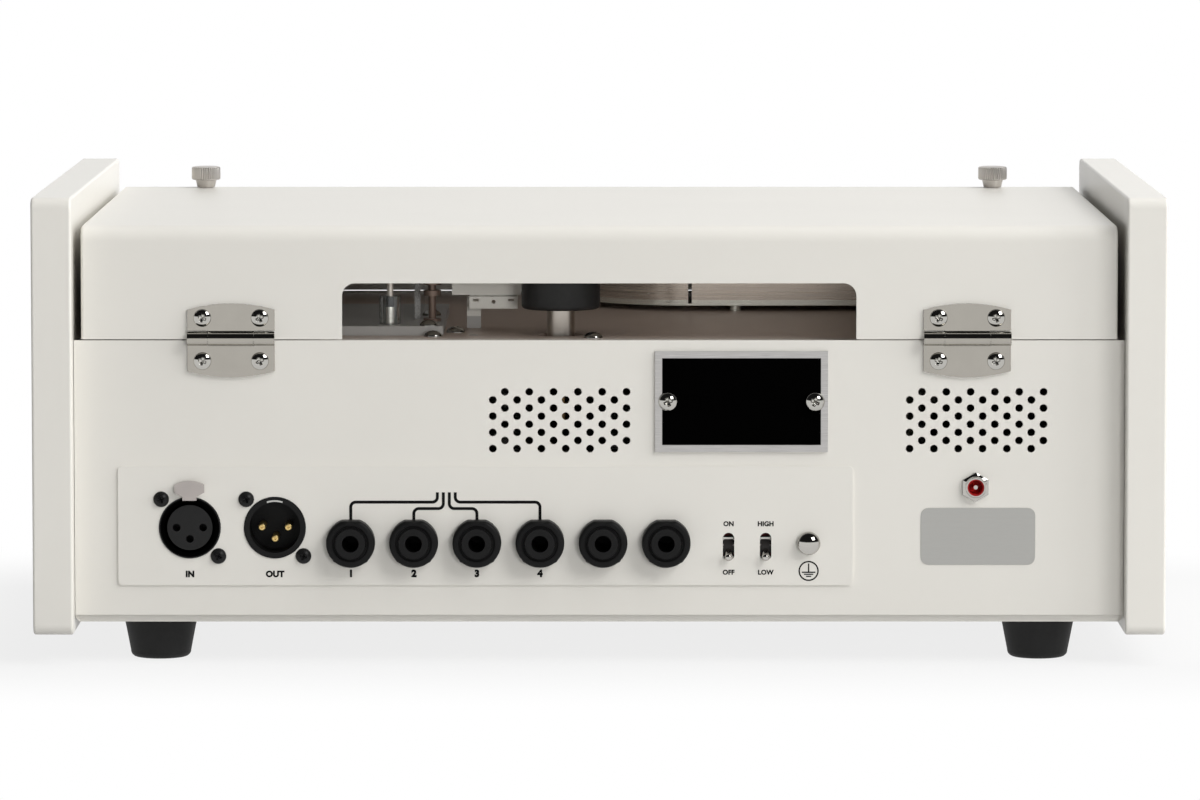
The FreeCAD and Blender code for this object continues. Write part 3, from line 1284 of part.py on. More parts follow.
def control_pots():
    """The control behind each knob: a can with a bush through the panel."""
    master = Piece("pot_master")
    behind = -s.sheet_thickness
    can, bush, bore = s.pot_body / 2, s.pot_bush / 2, s.pot_shaft / 2 + s.pin_fit
    floor = -s.shaft_reach - s.moving_gap
    master.turn([(0, behind - s.pot_depth), (can, behind - s.pot_depth), (can, behind), (bush, behind),
                 (bush, s.pot_bush_proud), (bore, s.pot_bush_proud), (bore, floor), (0, floor)])
    spots = [(across, front_face, level) for name, across, level in knob_places]
    spots.append((s.selector_place, front_face, s.selector_level))
    copies("control_pots", master.body, [(spot, FRONT) for spot in spots])


def level_meter():
    """The meter: a case with a bezel and a dial, a window and a needle."""
    spot = (s.meter_place, front_face, s.meter_level)
    case = Piece("meter_case", spot, FRONT)
    wide, tall = s.meter_width / 2, s.meter_height / 2
    slim = s.meter_rim / 2
    case.pad(rectangle(-wide, -tall, wide, tall), 0, s.meter_proud)
    case.soften(runs_along("z"), s.meter_corner)
    case.pad(rectangle(slim - wide, slim - tall, wide - slim, tall - slim), -s.meter_depth, 0)
    rim = s.meter_rim
    glass = s.meter_proud - s.meter_glass
    dial = glass - s.meter_dial_depth - s.moving_gap
    case.cut(rectangle(rim - wide, rim - tall, wide - rim, tall - rim), dial, s.meter_proud + 1)
    window = Piece("meter_window", spot, FRONT)
    window.pad(rectangle(rim - wide, rim - tall, wide - rim, tall - rim), glass, s.meter_proud)
    pivot = (s.meter_place, front_face, s.meter_level - s.needle_pivot_drop)
    needle = Piece("meter_needle", pivot, FRONT * Rotation(Vector(0, 0, 1), s.needle_tilt.number))
    low = dial + 2 * s.moving_gap
    high = low + s.needle_thickness
    needle.pad(circles([(0, 0)], s.needle_hub), low, high + s.needle_thickness)
    half = s.needle_width / 2
    needle.pad(shape((-half, 0), (half, 0), (half / 3, s.needle_length), (-half / 3, s.needle_length)),
               low, high)


def pilot_lamp():
    """A domed lens on a round body through the panel."""
    piece = Piece("pilot_lamp", (s.lamp_place, front_face, s.lamp_level), FRONT)
    lens, body = s.lamp_lens / 2, s.lamp_bezel / 2
    piece.turn([(0, -2 * s.lamp_height), (body, -2 * s.lamp_height), (body, 0), (lens, 0),
                (lens, s.lamp_rim), (0, s.lamp_height, dome(lens, s.lamp_height - s.lamp_rim))])


def main_board():
    """The circuit board on the tray's pillars."""
    spot = (s.board_across, chassis_middle, s.foot_height + s.sheet_thickness + s.board_lift)
    piece = Piece("main_board", spot)
    wide, deep = s.board_width / 2, s.board_depth / 2
    piece.pad(rectangle(-wide, -deep, wide, deep), 0, s.board_thickness)


def capstan_drive():
    """Capstan with flywheel, its bearing, the motor with its pulley, and the belt."""
    spot = (s.capstan_across, capstan_depth, 0)
    shaft = s.capstan / 2
    low = s.flywheel_level
    high = low + s.flywheel_height
    capstan = Piece("capstan", spot)
    hub = s.bearing_tube / 2
    web = s.flywheel_height / 3
    rim = s.flywheel / 2
    capstan.turn([(0, low), (hub, low), (hub, low + web), (rim - web, low + web), (rim - web, low),
                  (rim, low), (rim, high), (rim - web, high), (rim - web, high - web),
                  (hub, high - web), (hub, high), (shaft, high), (shaft, s.capstan_top - 1),
                  (shaft - 1, s.capstan_top), (0, s.capstan_top)])
    bearing = Piece("capstan_bearing", spot)
    bore, tube, flange = shaft + s.pin_fit, s.bearing_tube / 2, s.bearing_flange / 2
    bottom = deck_level - s.bearing_length
    seat = deck_underside - s.bearing_flange_height
    mouth = deck_level + s.bearing_proud
    bearing.turn([(bore, bottom), (tube, bottom), (tube, seat), (flange, seat), (flange, deck_underside),
                  (tube, deck_underside), (tube, mouth), (bore, mouth)])
    place_of_motor = (s.motor_across, motor_depth, 0)
    motor = Piece("drive_motor", place_of_motor)
    base = deck_underside - s.motor_height
    outer = s.motor / 2
    boss = s.motor_boss / 2
    stub = s.pulley_bore / 2
    pulley_top = high - 1
    motor.turn([(0, low + 1), (stub, low + 1), (stub, base - 2), (boss, base - 2), (boss, base),
                (outer - 2, base), (outer, base + 2), (outer, deck_underside), (0, deck_underside)])
    pulley = Piece("motor_pulley", place_of_motor)
    groove = s.pulley / 2
    edge = groove + 1.5
    belt_low = low + (s.flywheel_height - s.belt_height) / 2
    belt_high = belt_low + s.belt_height
    pulley.turn([(stub + s.pin_fit, low + 1), (edge, low + 1), (edge, belt_low - 0.5),
                 (groove, belt_low - 0.5), (groove, belt_high + 0.5), (edge, belt_high + 0.5),
                 (edge, pulley_top), (stub + s.pin_fit, pulley_top)])
    drive_belt(belt_low, (s.motor_across - s.capstan_across).number,
               (motor_depth - capstan_depth).number)


def solid(name, form):
    """A sub-part whose shape is worked out here, from the sheet's numbers."""
    feature = document.addObject("Part::Feature", name)
    feature.Label = name
    feature.Shape = form
    return feature


def rounded_path(points, radii):
    """A closed wire of straight runs joined by tangent arcs, one radius for each corner."""
    total = len(points)
    starts, ends, arcs = [], [], []
    for number, corner in enumerate(points):
        before = (points[number - 1] - corner).normalize()
        after = (points[(number + 1) % total] - corner).normalize()
        half = before.getAngle(after) / 2
        reach = radii[number] / math.tan(half)
        start = corner + before * reach
        end = corner + after * reach
        middle = (before + after).normalize()
        center = corner + middle * (radii[number] / math.sin(half))
        arcs.append(Part.Arc(start, center - middle * radii[number], end).toShape())
        starts.append(start)
        ends.append(end)
    edges = []
    for number in range(total):
        edges.append(arcs[number])
        following = starts[(number + 1) % total]
        if (following - ends[number]).Length > 1e-6:
            edges.append(Part.LineSegment(ends[number], following).toShape())
    return Part.Wire(edges)


def band(path, thickness, height):
    """A ribbon of the given thickness on both sides of a closed path, raised by height."""
    outer = Part.Face(path.makeOffset2D(thickness / 2))
    inner = Part.Face(path.makeOffset2D(-thickness / 2))
    return outer.cut(inner).Faces[0].extrude(Vector(0, 0, height))


def drive_belt(level, across, along):
    """The flat belt: two arcs round the wheels and the two straight runs between them."""
    gap = s.moving_gap.number / 2 + s.belt_thickness.number / 2
    large = s.flywheel.number / 2 + gap
    small = s.pulley.number / 2 + gap
    distance = math.hypot(across, along)
    heading = math.atan2(along, across)
    spread = math.acos((large - small) / distance)
    points = []
    for radius, spot in ((large, (0.0, 0.0)), (small, (across, along))):
        for side in (1, -1):
            angle = heading + side * spread
            points.append(Vector(spot[0] + radius * math.cos(angle), spot[1] + radius * math.sin(angle), 0))
    back = Vector(-large * math.cos(heading), -large * math.sin(heading), 0)
    front = Vector(across + small * math.cos(heading), along + small * math.sin(heading), 0)
    path = Part.Wire([Part.Arc(points[0], back, points[1]).toShape(),
                      Part.LineSegment(points[1], points[3]).toShape(),
                      Part.Arc(points[3], front, points[2]).toShape(),
                      Part.LineSegment(points[2], points[0]).toShape()])
    belt = solid("drive_belt", band(path, s.belt_thickness.number, s.belt_height.number))
    place(belt, (s.capstan_across, capstan_depth, level))


def pinch_arm():
    """The arm that swings on its pivot and carries the post of the pinch roller."""
    piece = Piece("pinch_arm", (s.arm_pivot_across, arm_pivot_depth, 0))
    across = s.capstan_across - s.arm_pivot_across
    along = roller_depth - arm_pivot_depth
    reach = math.hypot(across.number, along.number)
    half = s.arm_width / 2
    side = (half * (along.number / reach), half * (-across.number / reach))
    low, high = arm_low, arm_high
    piece.pad(shape((side[0], side[1]), (across + side[0], along + side[1]),
                    (across - side[0], along - side[1]), (-side[0], -side[1])), low, high)
    piece.pad(circles([(0, 0), (across, along)], s.arm_width), low, high)
    piece.pad(circles([(across, along)], s.roller_post), low, s.roller_bottom - s.moving_gap)
    piece.pad(circles([(across, along)], s.roller_axle), high, s.roller_bottom + s.roller_height - 2)
    piece.cut(circles([(0, 0)], s.arm_pivot + 2 * s.pin_fit), low - 1, high + 1)


def pinch_roller():
    """The rubber roller on the arm's axle."""
    piece = Piece("pinch_roller", (s.capstan_across, roller_depth, s.roller_bottom))
    rim, edge = s.roller / 2, s.roller_edge
    bore = s.roller_axle / 2 + s.pin_fit
    top = s.roller_height
    cap = top - 1.5
    piece.turn([(bore, 0), (rim - edge, 0), (rim, edge, edge), (rim, top - edge),
                (rim - edge, top, edge), (0, top), (0, cap), (bore, cap)])


def head_plate():
    """The raised plate of the heads, and the head block beside the capstan on its bracket."""
    piece = Piece("head_plate")
    piece.pad(rounded(s.head_plate_left, rear_face - s.head_plate_front, tape_right - s.head_plate_edge,
                      rear_face - s.head_plate_back, s.plate_corner), deck_level, plate_top)
    piece.cut(circles(plate_screws, screw_hole), deck_level - 1, plate_top + 1)
    face = tape_line - s.tape_thickness / 2 - s.moving_gap
    rear = face - s.block_depth
    foot = rear_face - s.leg_inset
    back = foot - s.leg_thickness
    shadow = s.block_bottom - s.bracket_gap
    flat = shadow - s.bracket_thickness
    piece.pad(rectangle(s.block_left, rear, s.block_right, face), s.block_bottom, s.head_top)
    piece.pad(rectangle(s.lip_left, rear, s.lip_right, face - 2 * s.lip_thickness), shadow, s.block_bottom)
    piece.pad(rectangle(s.lip_left, back, s.lip_right, face), flat, shadow)
    piece.pad(rectangle(s.lip_left, face - s.lip_thickness, s.lip_right, face), s.lip_bottom, flat)
    half = s.leg_width / 2
    piece.pad(rectangle(s.leg_across - half, back, s.leg_across + half, foot), deck_level, flat)
    middle = (s.lip_left + s.lip_right) / 2
    low, high = -face - 1, 2 * s.lip_thickness - face
    piece.cut(circles([(middle, s.block_bottom - s.lip_hole_drop)], s.lip_hole), low, high, "XZ_Plane")
    notch = s.block_bottom - s.lip_notch_drop
    for start in (s.lip_left + s.lip_notch_inset, s.lip_right - s.lip_notch_inset - s.lip_notch_width):
        piece.cut(rectangle(start, notch, start + s.lip_notch_width, notch + s.lip_notch_height),
                  low, high, "XZ_Plane")


def tape_heads():
    """The row of heads, each with a round nose towards the tape."""
    row = Piece("tape_heads")
    face = tape_line - s.tape_thickness / 2 - s.moving_gap
    half = s.head_width / 2
    for number in range(5):
        middle = tape_right - s.head_run - s.head_pitch * number
        back = face - s.head_depth
        nose = face - s.head_nose
        radius = dome(half, s.head_nose)
        row.pad(shape((middle - half, back), (middle + half, back), (middle + half, nose),
                      (middle, face, radius), (middle - half, nose, radius)), plate_top, s.head_top)


def guide(name, foot):
    """A flanged post that guides the tape, standing on the level of its foot."""
    master = Piece(name)
    waist, flange, post = s.guide / 2, s.guide_flange / 2, s.guide_post / 2
    low = s.tape_level - s.moving_gap
    high = s.tape_level + s.tape_width + s.moving_gap
    thick = s.guide_flange_height
    collar = s.guide_collar_level + s.guide_collar_height
    master.turn([(0, foot), (flange, foot), (flange, foot + thick), (post, foot + thick),
                 (post, s.guide_collar_level), (flange, s.guide_collar_level), (flange, collar),
                 (post, collar), (post, low - thick), (flange, low - thick), (flange, low),
                 (waist, low), (waist, high), (flange, high), (flange, high + thick), (0, high + thick)])
    return master.body


def tape_guides():
    """Two guides turn the tape on the right, one stands beside the heads, and a plain stepped rod."""
    tall = [((tape_right - guide_half, along, 0), UPRIGHT)
            for along in (front_run + guide_half, tape_line - guide_half)]
    short = [((s.guide_middle, tape_line - guide_half, 0), UPRIGHT)]
    rod = Piece("rod_master")
    foot, neck = s.rod_foot / 2, s.rod_neck / 2
    rod.turn([(0, plate_top), (foot, plate_top), (foot, s.rod_shoulder_level),
              (neck, s.rod_shoulder_level), (neck, s.head_top), (0, s.head_top)])
    group("tape_guides", links("deck_guide", guide("deck_guide_master", deck_level), tall)
          + links("plate_guide", guide("plate_guide_master", plate_top), short)
          + links("rod", rod.body, [((s.rod_across, rear_face - s.rod_inset, 0), UPRIGHT)]))


def tank_outline(inset, bend_inset):
    """The tank's outline, drawn so far inside its wall; its wide bend is where the tape goes in."""
    left, right = s.tank_left + inset, s.tank_right - inset
    front, back = tank_front + inset, tank_back - inset
    corner, bend = s.tank_corner - bend_inset, s.tank_bend - bend_inset
    return shape((left + corner, front, corner), (right - corner, front), (right, front + corner, corner),
                 (right, back - bend), (right - bend, back, bend), (left + corner, back),
                 (left, back - corner, corner), (left, front + corner))


def tape_tank():
    """The tray that holds the slack tape: a wall with a floor, two slots and pegs on the deck."""
    wall = Piece("tape_tank")
    thin = s.tank_wall
    floor = s.tape_level - s.moving_gap
    wall.pad(tank_outline(length(0), length(0)), tank_underside, s.tank_top)
    wall.cut(tank_outline(thin, thin), tank_underside - 1, floor - s.tank_floor)
    wall.cut(tank_outline(thin, thin), floor, s.tank_top + 1)
    half = s.tank_slot / 2
    wall.cut(rectangle(s.tank_slot_across - half, tank_back - 2 * thin, s.tank_slot_across + half,
                       tank_back + 1), tank_underside + s.tank_slot / 2, s.tank_top + 1)
    wall.cut(rectangle(s.tank_right - 2 * thin, front_run - half, s.tank_right + 1, front_run + half),
             s.tape_level - s.moving_gap, s.tank_top + 1)
    peg = s.tank_peg / 2
    far = s.tank_peg_across - s.tank_peg_spread
    spots = [(s.tank_peg_across, tank_back - thin - peg / 2), (far, tank_back - thin - peg / 2),
             (s.tank_peg_across, tank_front + thin + peg / 2), (far, tank_front + thin + peg / 2),
             (s.tank_right - thin - peg / 2, tank_front + s.tank_bend)]
    wall.pad(circles(spots, s.tank_peg), deck_level, tank_underside)


def clear_covers():
    """What is clear plastic inside: the tank's cover, the guard and the sleeve on the head plate."""
    cover = Piece("tank_cover_master")
    cover.pad(tank_outline(length(0), length(0)), s.tank_top, s.tank_top + s.cover_thickness)
    guard = Piece("guard_master")
    back = rear_face - s.guard_inset
    guard.pad(rectangle(s.guard_left, back - s.guard_depth, s.guard_left + s.guard_thickness, back),
              plate_top, s.guard_top)
    sleeve = Piece("sleeve_master")
    outer = s.rod_sleeve / 2
    bore = outer - s.rod_sleeve_wall
    sleeve.turn([(bore, plate_top), (outer, plate_top), (outer, s.rod_sleeve_top),
                 (bore, s.rod_sleeve_top)])
    spot = (s.rod_across, rear_face - s.rod_inset, 0)
    group("clear_covers", links("tank_cover", cover.body, [((0, 0, 0), UPRIGHT)])
          + links("guard", guard.body, [((0, 0, 0), UPRIGHT)])
          + links("sleeve", sleeve.body, [(spot, UPRIGHT)]))


def tape_run():
    """Where the tape leaves the capstan for the tank: the corner of its path, and its heading."""
    gap = Vector(s.tank_slot_across.number, tank_back.number - s.tank_wall.number / 2, 0)
    middle = Vector(s.capstan_across.number, capstan_depth.number, 0)
    radius = (tape_line - capstan_depth).number
    way = gap - middle
    heading = math.atan2(way.y, way.x) + math.asin(radius / way.Length)
    turned = heading % (2 * math.pi) - math.pi
    corner = middle + Vector(-radius * math.tan(turned / 2), radius, 0)
    return corner, radius, heading


def tape_loop():
    """The endless tape: past the heads, round the capstan into the tank, and back in loose folds."""
    right = tape_right.number
    front = front_run.number
    line = tape_line.number
    inset = (s.tank_wall + s.fold_inset).number
    rise, out = s.fold_rise.number, s.fold_exit.number
    low = tank_front.number + inset
    high = tank_back.number - inset
    start = s.tank_left.number + inset
    bend, bend_radius, heading = tape_run()
    turn = bend + Vector(1, math.tan(heading), 0) * ((low + rise - bend.y) / math.tan(heading))
    folds = 6
    pitch = (turn.x - start) / (folds + 1)
    points = [Vector(right, front, 0), Vector(right, line, 0), bend, turn]
    radii = [guide_half.number, guide_half.number, bend_radius, pitch * 0.2]
    across = turn.x - pitch
    points.append(Vector(across, low + rise, 0))
    radii.append(pitch * 0.49)
    for number in range(folds // 2):
        points += [Vector(across, high, 0), Vector(across - pitch, high, 0)]
        across -= pitch
        points += [Vector(across, low + rise, 0), Vector(across - pitch, low + rise, 0)]
        across -= pitch
        radii += [pitch * 0.49] * 4
    exit_across = s.tank_slot_across.number
    points[-1] = Vector(start, low, 0)
    radii[-1] = pitch * 0.49
    points += [Vector(exit_across, low, 0), Vector(exit_across + out, front, 0)]
    radii += [out, out]
    path = rounded_path(points, radii)
    tape = solid("tape_loop", band(path, s.tape_thickness.number, s.tape_width.number))
    place(tape, (0, 0, s.tape_level))


def build():
    """Make every sub-part."""
    side_cheek("side_cheek_left", -half_width, -inner_half)
    side_cheek("side_cheek_right", inner_half, half_width)
    base_tray()
    rear_panel()
    front_panel()
    deck_plate()
    lid_shell()
    rubber_feet()
    chassis_screws()
    hinges()
    connector_plate()
    name_plate()
    xlr_input()
    xlr_output()
    xlr_screws()
    jacks()
    toggle_switches()
    earth_terminal()
    supply_inlet()
    thumbscrew("lid_thumbscrew_left", -1)
    thumbscrew("lid_thumbscrew_right", 1)
    lid_pillars()
    knobs()
    control_pots()
    level_meter()
    pilot_lamp()
    main_board()
    capstan_drive()
    pinch_arm()
    pinch_roller()
    head_plate()
    tape_heads()
    tape_guides()
    tape_tank()
    clear_covers()
    tape_loop()


def sub_parts():
    """The labelled bodies, groups and shapes that are pieces of the unit."""
    kinds = ("PartDesign::Body", "Part::Compound", "Part::Feature")
    found = [item for item in document.Objects if item.TypeId in kinds]
    return [item for item in found if not item.Label.endswith("_master")]


def check_and_export():
    """Stop at anything that failed, then write one STEP file for each sub-part."""
    for item in document.Objects:
        if {"Invalid", "Error"} & set(item.State):
            raise RuntimeError(f"{item.Name} failed: {item.State}")
        if item.TypeId in ("PartDesign::Pocket", "PartDesign::Groove"):
            if item.Shape.Volume > item.BaseFeature.Shape.Volume - 1e-3:
                raise RuntimeError(f"{item.Name} cuts nothing")
    os.makedirs("parts", exist_ok=True)
    for item in sub_parts():
        if item.Shape.isNull() or not item.Shape.isValid():
            raise RuntimeError(f"{item.Label} has no valid shape")
        item.Shape.exportStep(f"parts/{item.Label}.step")
        print(item.Label, len(item.Shape.Solids), "solids", round(item.Shape.Volume), "mm3")


build()
document.recompute()
check_and_export()
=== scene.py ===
"""The looks of a tape echo unit, laid out as an add-on and run as a script.

The frame is that of the packed model: +X to the right seen from the control panel, +Y to the
connector panel, +Z up, and the floor at 0. New pieces are grids of points worked out with numpy,
and every finish is a node tree on Object coordinates. Pieces and finishes are given in millimetres,
the settings and the stage in metres.
"""

import math

import bpy
import numpy as np
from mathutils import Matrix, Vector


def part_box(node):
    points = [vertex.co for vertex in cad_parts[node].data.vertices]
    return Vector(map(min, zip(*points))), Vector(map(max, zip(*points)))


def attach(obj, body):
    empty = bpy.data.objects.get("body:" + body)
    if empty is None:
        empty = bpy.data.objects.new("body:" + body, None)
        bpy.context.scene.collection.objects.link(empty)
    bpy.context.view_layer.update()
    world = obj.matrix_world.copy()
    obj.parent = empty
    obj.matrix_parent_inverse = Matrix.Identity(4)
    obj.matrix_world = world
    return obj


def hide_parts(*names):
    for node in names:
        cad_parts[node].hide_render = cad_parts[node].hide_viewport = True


bl_info = {
    "name": "Tape echo unit",
    "version": (1, 0, 0),
    "blender": (4, 5, 0),
    "location": "3D View > Sidebar > Tape echo",
    "description": "Finishes, fasteners, print and stage of a tape echo unit",
    "category": "Object",
}

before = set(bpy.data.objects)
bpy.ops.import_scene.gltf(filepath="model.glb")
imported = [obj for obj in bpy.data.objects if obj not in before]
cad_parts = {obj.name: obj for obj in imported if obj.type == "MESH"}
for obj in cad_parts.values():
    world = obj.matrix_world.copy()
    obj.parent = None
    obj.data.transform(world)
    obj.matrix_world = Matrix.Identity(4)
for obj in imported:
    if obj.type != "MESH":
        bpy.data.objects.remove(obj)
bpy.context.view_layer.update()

MM = 0.001
TURN = 2 * math.pi
PRINT_HEIGHT = 0.06


def box(node):
    """The lowest and the highest corner of a CAD node, in millimetres."""
    return [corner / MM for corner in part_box(node)]


# Faces of the solids.
REAR_FACE = box("connector_plate")[0].y
PLATE_FACE = box("connector_plate")[1].y
PLATE_RISE = PLATE_FACE - REAR_FACE
FRONT_FACE = box("front_panel")[0].y
DECK_LEVEL = box("deck_plate")[1].z

# Middles of the fittings on the connector panel: across to the right as seen from behind, and
# up from the floor.
INPUT_SOCKET = (-157.9, 52.8)
OUTPUT_SOCKET = (-125.1, 52.8)
JACK_LEVEL = 47.2
JACKS = [-95.8 + 24.32 * number for number in range(6)]
STOP_SWITCH = 49.9
LEVEL_SWITCH = 64.2
SWITCH_LEVEL = 45.4
EARTH_SCREW = (80.8, 46.9)
SUPPLY_INLET = (145.1, 68.5)
RATING_LABEL = (146.1, 49.35)

# Middles of the knobs on the control panel: across to the right, and up.
SELECTOR = (-8, 69)
KNOBS = {
    "input_one": (-168, 92),
    "input_two": (-168, 46),
    "bass": (66, 92),
    "treble": (108, 92),
    "echo_volume": (150, 92),
    "repeats": (66, 46),
    "tape_speed": (108, 46),
}


# ---------------------------------------------------------------- meshes


class Shell:
    """Collects closed grids of points, and makes them one welded mesh of triangles."""

    def __init__(self, *grids, wrap_rows=False):
        self.points, self.triangles, self.total = [], [], 0
        for points in grids:
            self.grid(points, wrap_rows)

    def raw(self, points, triangles):
        """Add loose triangles that already face outwards."""
        self.points.append(np.asarray(points, float))
        self.triangles.append(np.asarray(triangles) + self.total)
        self.total += len(points)

    def grid(self, points, wrap_rows=False):
        """Join a (rows, columns, 3) grid; columns close on themselves, rows if asked.

        The enclosed volume is the sum of a . (b x c) / 6 over its triangles; where that is
        negative the grid is inside out, and its triangles are turned round.
        """
        rows, columns = points.shape[:2]
        index = np.arange(rows * columns).reshape(rows, columns)
        if wrap_rows:
            index = np.vstack([index, index[:1]])
        index = np.hstack([index, index[:, :1]])
        a, b, c, d = index[:-1, :-1], index[:-1, 1:], index[1:, 1:], index[1:, :-1]
        halves = [np.stack(half, -1).reshape(-1, 3) for half in ((a, b, c), (a, c, d))]
        triangles = np.concatenate(halves)
        flat = points.reshape(-1, 3)
        first, second, third = flat[triangles].swapaxes(0, 1)
        volume = np.einsum("ij,ij->", first, np.cross(second, third))
        self.raw(flat, triangles if volume > 0 else triangles[:, ::-1])

    def word(self, text, size, placing, across, up, out, weight=0.02):
        """Add a word or number whose middle is at a spot."""
        points, triangles = lettering(text, size, weight)
        self.raw(placing(points, across, up, out), triangles)

    def piece(self, name, body, finish, slot, nodes=(), crease=35):
        """Make the mesh, weld points that coincide, and let it ride on a body."""
        points = np.concatenate(self.points)
        keys = np.round(points, 8)
        first, place = np.unique(keys, axis=0, return_index=True, return_inverse=True)[1:]
        triangles = place.reshape(-1)[np.concatenate(self.triangles)]
        a, b, c = triangles.T
        triangles = triangles[(a != b) & (b != c) & (c != a)]
        mesh = bpy.data.meshes.new(name)
        mesh.vertices.add(len(first))
        mesh.vertices.foreach_set("co", points[first].ravel())
        mesh.loops.add(triangles.size)
        mesh.loops.foreach_set("vertex_index", triangles.ravel().astype(np.int32))
        mesh.polygons.add(len(triangles))
        mesh.polygons.foreach_set("loop_start", np.arange(0, triangles.size, 3, dtype=np.int32))
        mesh.update(calc_edges=True)
        mesh.validate()
        mesh.shade_smooth()
        mesh.set_sharp_from_angle(angle=math.radians(crease))
        mesh.materials.append(finish)
        made = bpy.data.objects.new(name, mesh)
        bpy.context.scene.collection.objects.link(made)
        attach(made, body)
        if nodes:
            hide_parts(*nodes)


def on_rear(points, across=0.0, up=0.0, out=0.0):
    """Points drawn as seen from behind (viewer's right, up, outwards), put on the rear panel."""
    x, y, z = np.moveaxis(np.asarray(points, float), -1, 0)
    return np.stack([-(x + across), REAR_FACE + z + out, y + up], -1) * MM


def on_front(points, across=0.0, up=0.0, out=0.0):
    """Points drawn as seen from the front (right, up, outwards), put on the control panel."""
    x, y, z = np.moveaxis(np.asarray(points, float), -1, 0)
    return np.stack([x + across, FRONT_FACE - z - out, y + up], -1) * MM


def upright(points, across=0.0, along=0.0, level=0.0):
    """Points drawn in the model's own directions, moved to a spot."""
    return (np.asarray(points, float) + (across, along, level)) * MM


def downwards(points, across, along, level):
    """Points of an upright piece turned over, so that it points down."""
    return upright(np.asarray(points) * (1, -1, -1), across, along, level)


def polar(angle, radius=1.0):
    """Flat points at an angle a and a distance r from the origin: x = r cos a, y = r sin a."""
    return np.stack([radius * np.cos(angle), radius * np.sin(angle)], -1)


def turned(profile, count=48, ripple=None):
    """Turn (radius, level) rows about the upright line: x = r cos v, y = r sin v.

    ripple is a function of the angle v. Times a row's third value, it is taken off the radius.
    """
    rows = np.array([(*row, 0.0)[:3] for row in profile], float)
    radius, level, share = rows.T[:, :, None] + np.zeros(count)
    around = np.linspace(0, TURN, count, endpoint=False)
    if ripple:
        radius = radius - share * ripple(around)
    return np.stack([radius * np.cos(around), radius * np.sin(around), level], -1)


def stacked(*rows):
    """A grid whose rows are flat outlines, each at its own level."""
    return np.stack([np.column_stack([flat, np.full(len(flat), level)]) for flat, level in rows])


def prism(outline, low, high, edge=0.0):
    """A flat-ended block over a star-shaped outline, with a small bevel round its upper edge.

    Its rows are the outline at both ends, the outline shrunk about its middle, and that middle.
    """
    outline = np.asarray(outline, float)
    middle = np.broadcast_to(outline.mean(0), outline.shape)
    reach = outline - middle
    shrunk = middle + reach * (1 - edge / np.abs(reach).max())
    return stacked((middle, low), (outline, low), (outline, high - edge), (shrunk, high),
                   (middle, high))


def ring(outer, inner, low, high):
    """The solid between two outlines of equally many points."""
    return stacked((outer, low), (outer, high), (inner, high), (inner, low))


def rounded(width, height, radius, steps=6):
    """The outline of a rectangle with round corners: four quarter circles, run anticlockwise."""
    quarter = np.linspace(0, math.pi / 2, steps)
    parts = []
    for number, (sx, sy) in enumerate(((1, 1), (-1, 1), (-1, -1), (1, -1))):
        middle = np.array([sx * (width / 2 - radius), sy * (height / 2 - radius)])
        parts.append(middle + polar(quarter + number * math.pi / 2, radius))
    return np.concatenate(parts)


def circle(radius, count=48):
    """Points round a circle."""
    return polar(np.linspace(0, TURN, count, endpoint=False), radius)


def strip(line, width, low, high):
    """A flat strip of a given width along a line of (x, y) points, closed at both ends.

    Each cross-section is line(u) + n(u) times plus or minus half the width, where n is the
    line's direction turned by a quarter.
    """
    line = np.asarray(line, float)
    step = np.gradient(line, axis=0)
    step /= np.linalg.norm(step, axis=1)[:, None]
    side = step[:, ::-1] * (-1, 1) * width / 2
    left, right = line + side, line - side
    rows = stacked((left, low), (right, low), (right, high), (left, high)).swapaxes(0, 1)
    first, last = rows[:1].mean(1, keepdims=True), rows[-1:].mean(1, keepdims=True)
    return np.concatenate([np.repeat(first, 4, 1), rows, np.repeat(last, 4, 1)])


def bent_line(corners, radius, steps=8):
    """A line through corners, with an arc of the given radius at each inner corner."""
    corners = [np.asarray(corner, float) for corner in corners]
    share = np.linspace(0, 1, steps)[:, None]
    points = [corners[0]]
    for before, corner, after in zip(corners, corners[1:], corners[2:]):
        back = (before - corner) / np.linalg.norm(before - corner)
        ahead = (after - corner) / np.linalg.norm(after - corner)
        half = math.acos(np.clip(back @ ahead, -1, 1)) / 2
        tangent = radius / math.tan(half)
        middle = corner + (back + ahead) / np.linalg.norm(back + ahead) * radius / math.sin(half)
        begin, end = corner + back * tangent, corner + ahead * tangent
        arc = (begin - middle) * (1 - share) + (end - middle) * share
        points.extend(middle + arc / np.linalg.norm(arc, axis=1)[:, None] * radius)
    return np.array(points + [corners[-1]])


def lettering(text, size, weight):
    """The points and triangles of a word or number, lying flat with its middle at the origin."""
    curve = bpy.data.curves.new("print", "FONT")
    curve.body, curve.size, curve.align_x, curve.align_y = text, size * MM, "CENTER", "CENTER"
    curve.extrude, curve.resolution_u = PRINT_HEIGHT * MM / 2, 4
    curve.offset, curve.space_character = size * MM * weight, 1 + weight
    holder = bpy.data.objects.new("print", curve)
    bpy.context.scene.collection.objects.link(holder)
    bpy.context.view_layer.update()
    evaluated = holder.evaluated_get(bpy.context.evaluated_depsgraph_get())
    mesh = bpy.data.meshes.new_from_object(evaluated)
    bpy.data.objects.remove(holder)
    mesh.calc_loop_triangles()
    points = np.empty(len(mesh.vertices) * 3, np.float32)
    mesh.vertices.foreach_get("co", points)
    triangles = np.empty(len(mesh.loop_triangles) * 3, np.int32)
    mesh.loop_triangles.foreach_get("vertices", triangles)
    bpy.data.meshes.remove(mesh)
    bpy.data.curves.remove(curve)
    return points.reshape(-1, 3).astype(float) / MM, triangles.reshape(-1, 3)


# ---------------------------------------------------------------- node trees


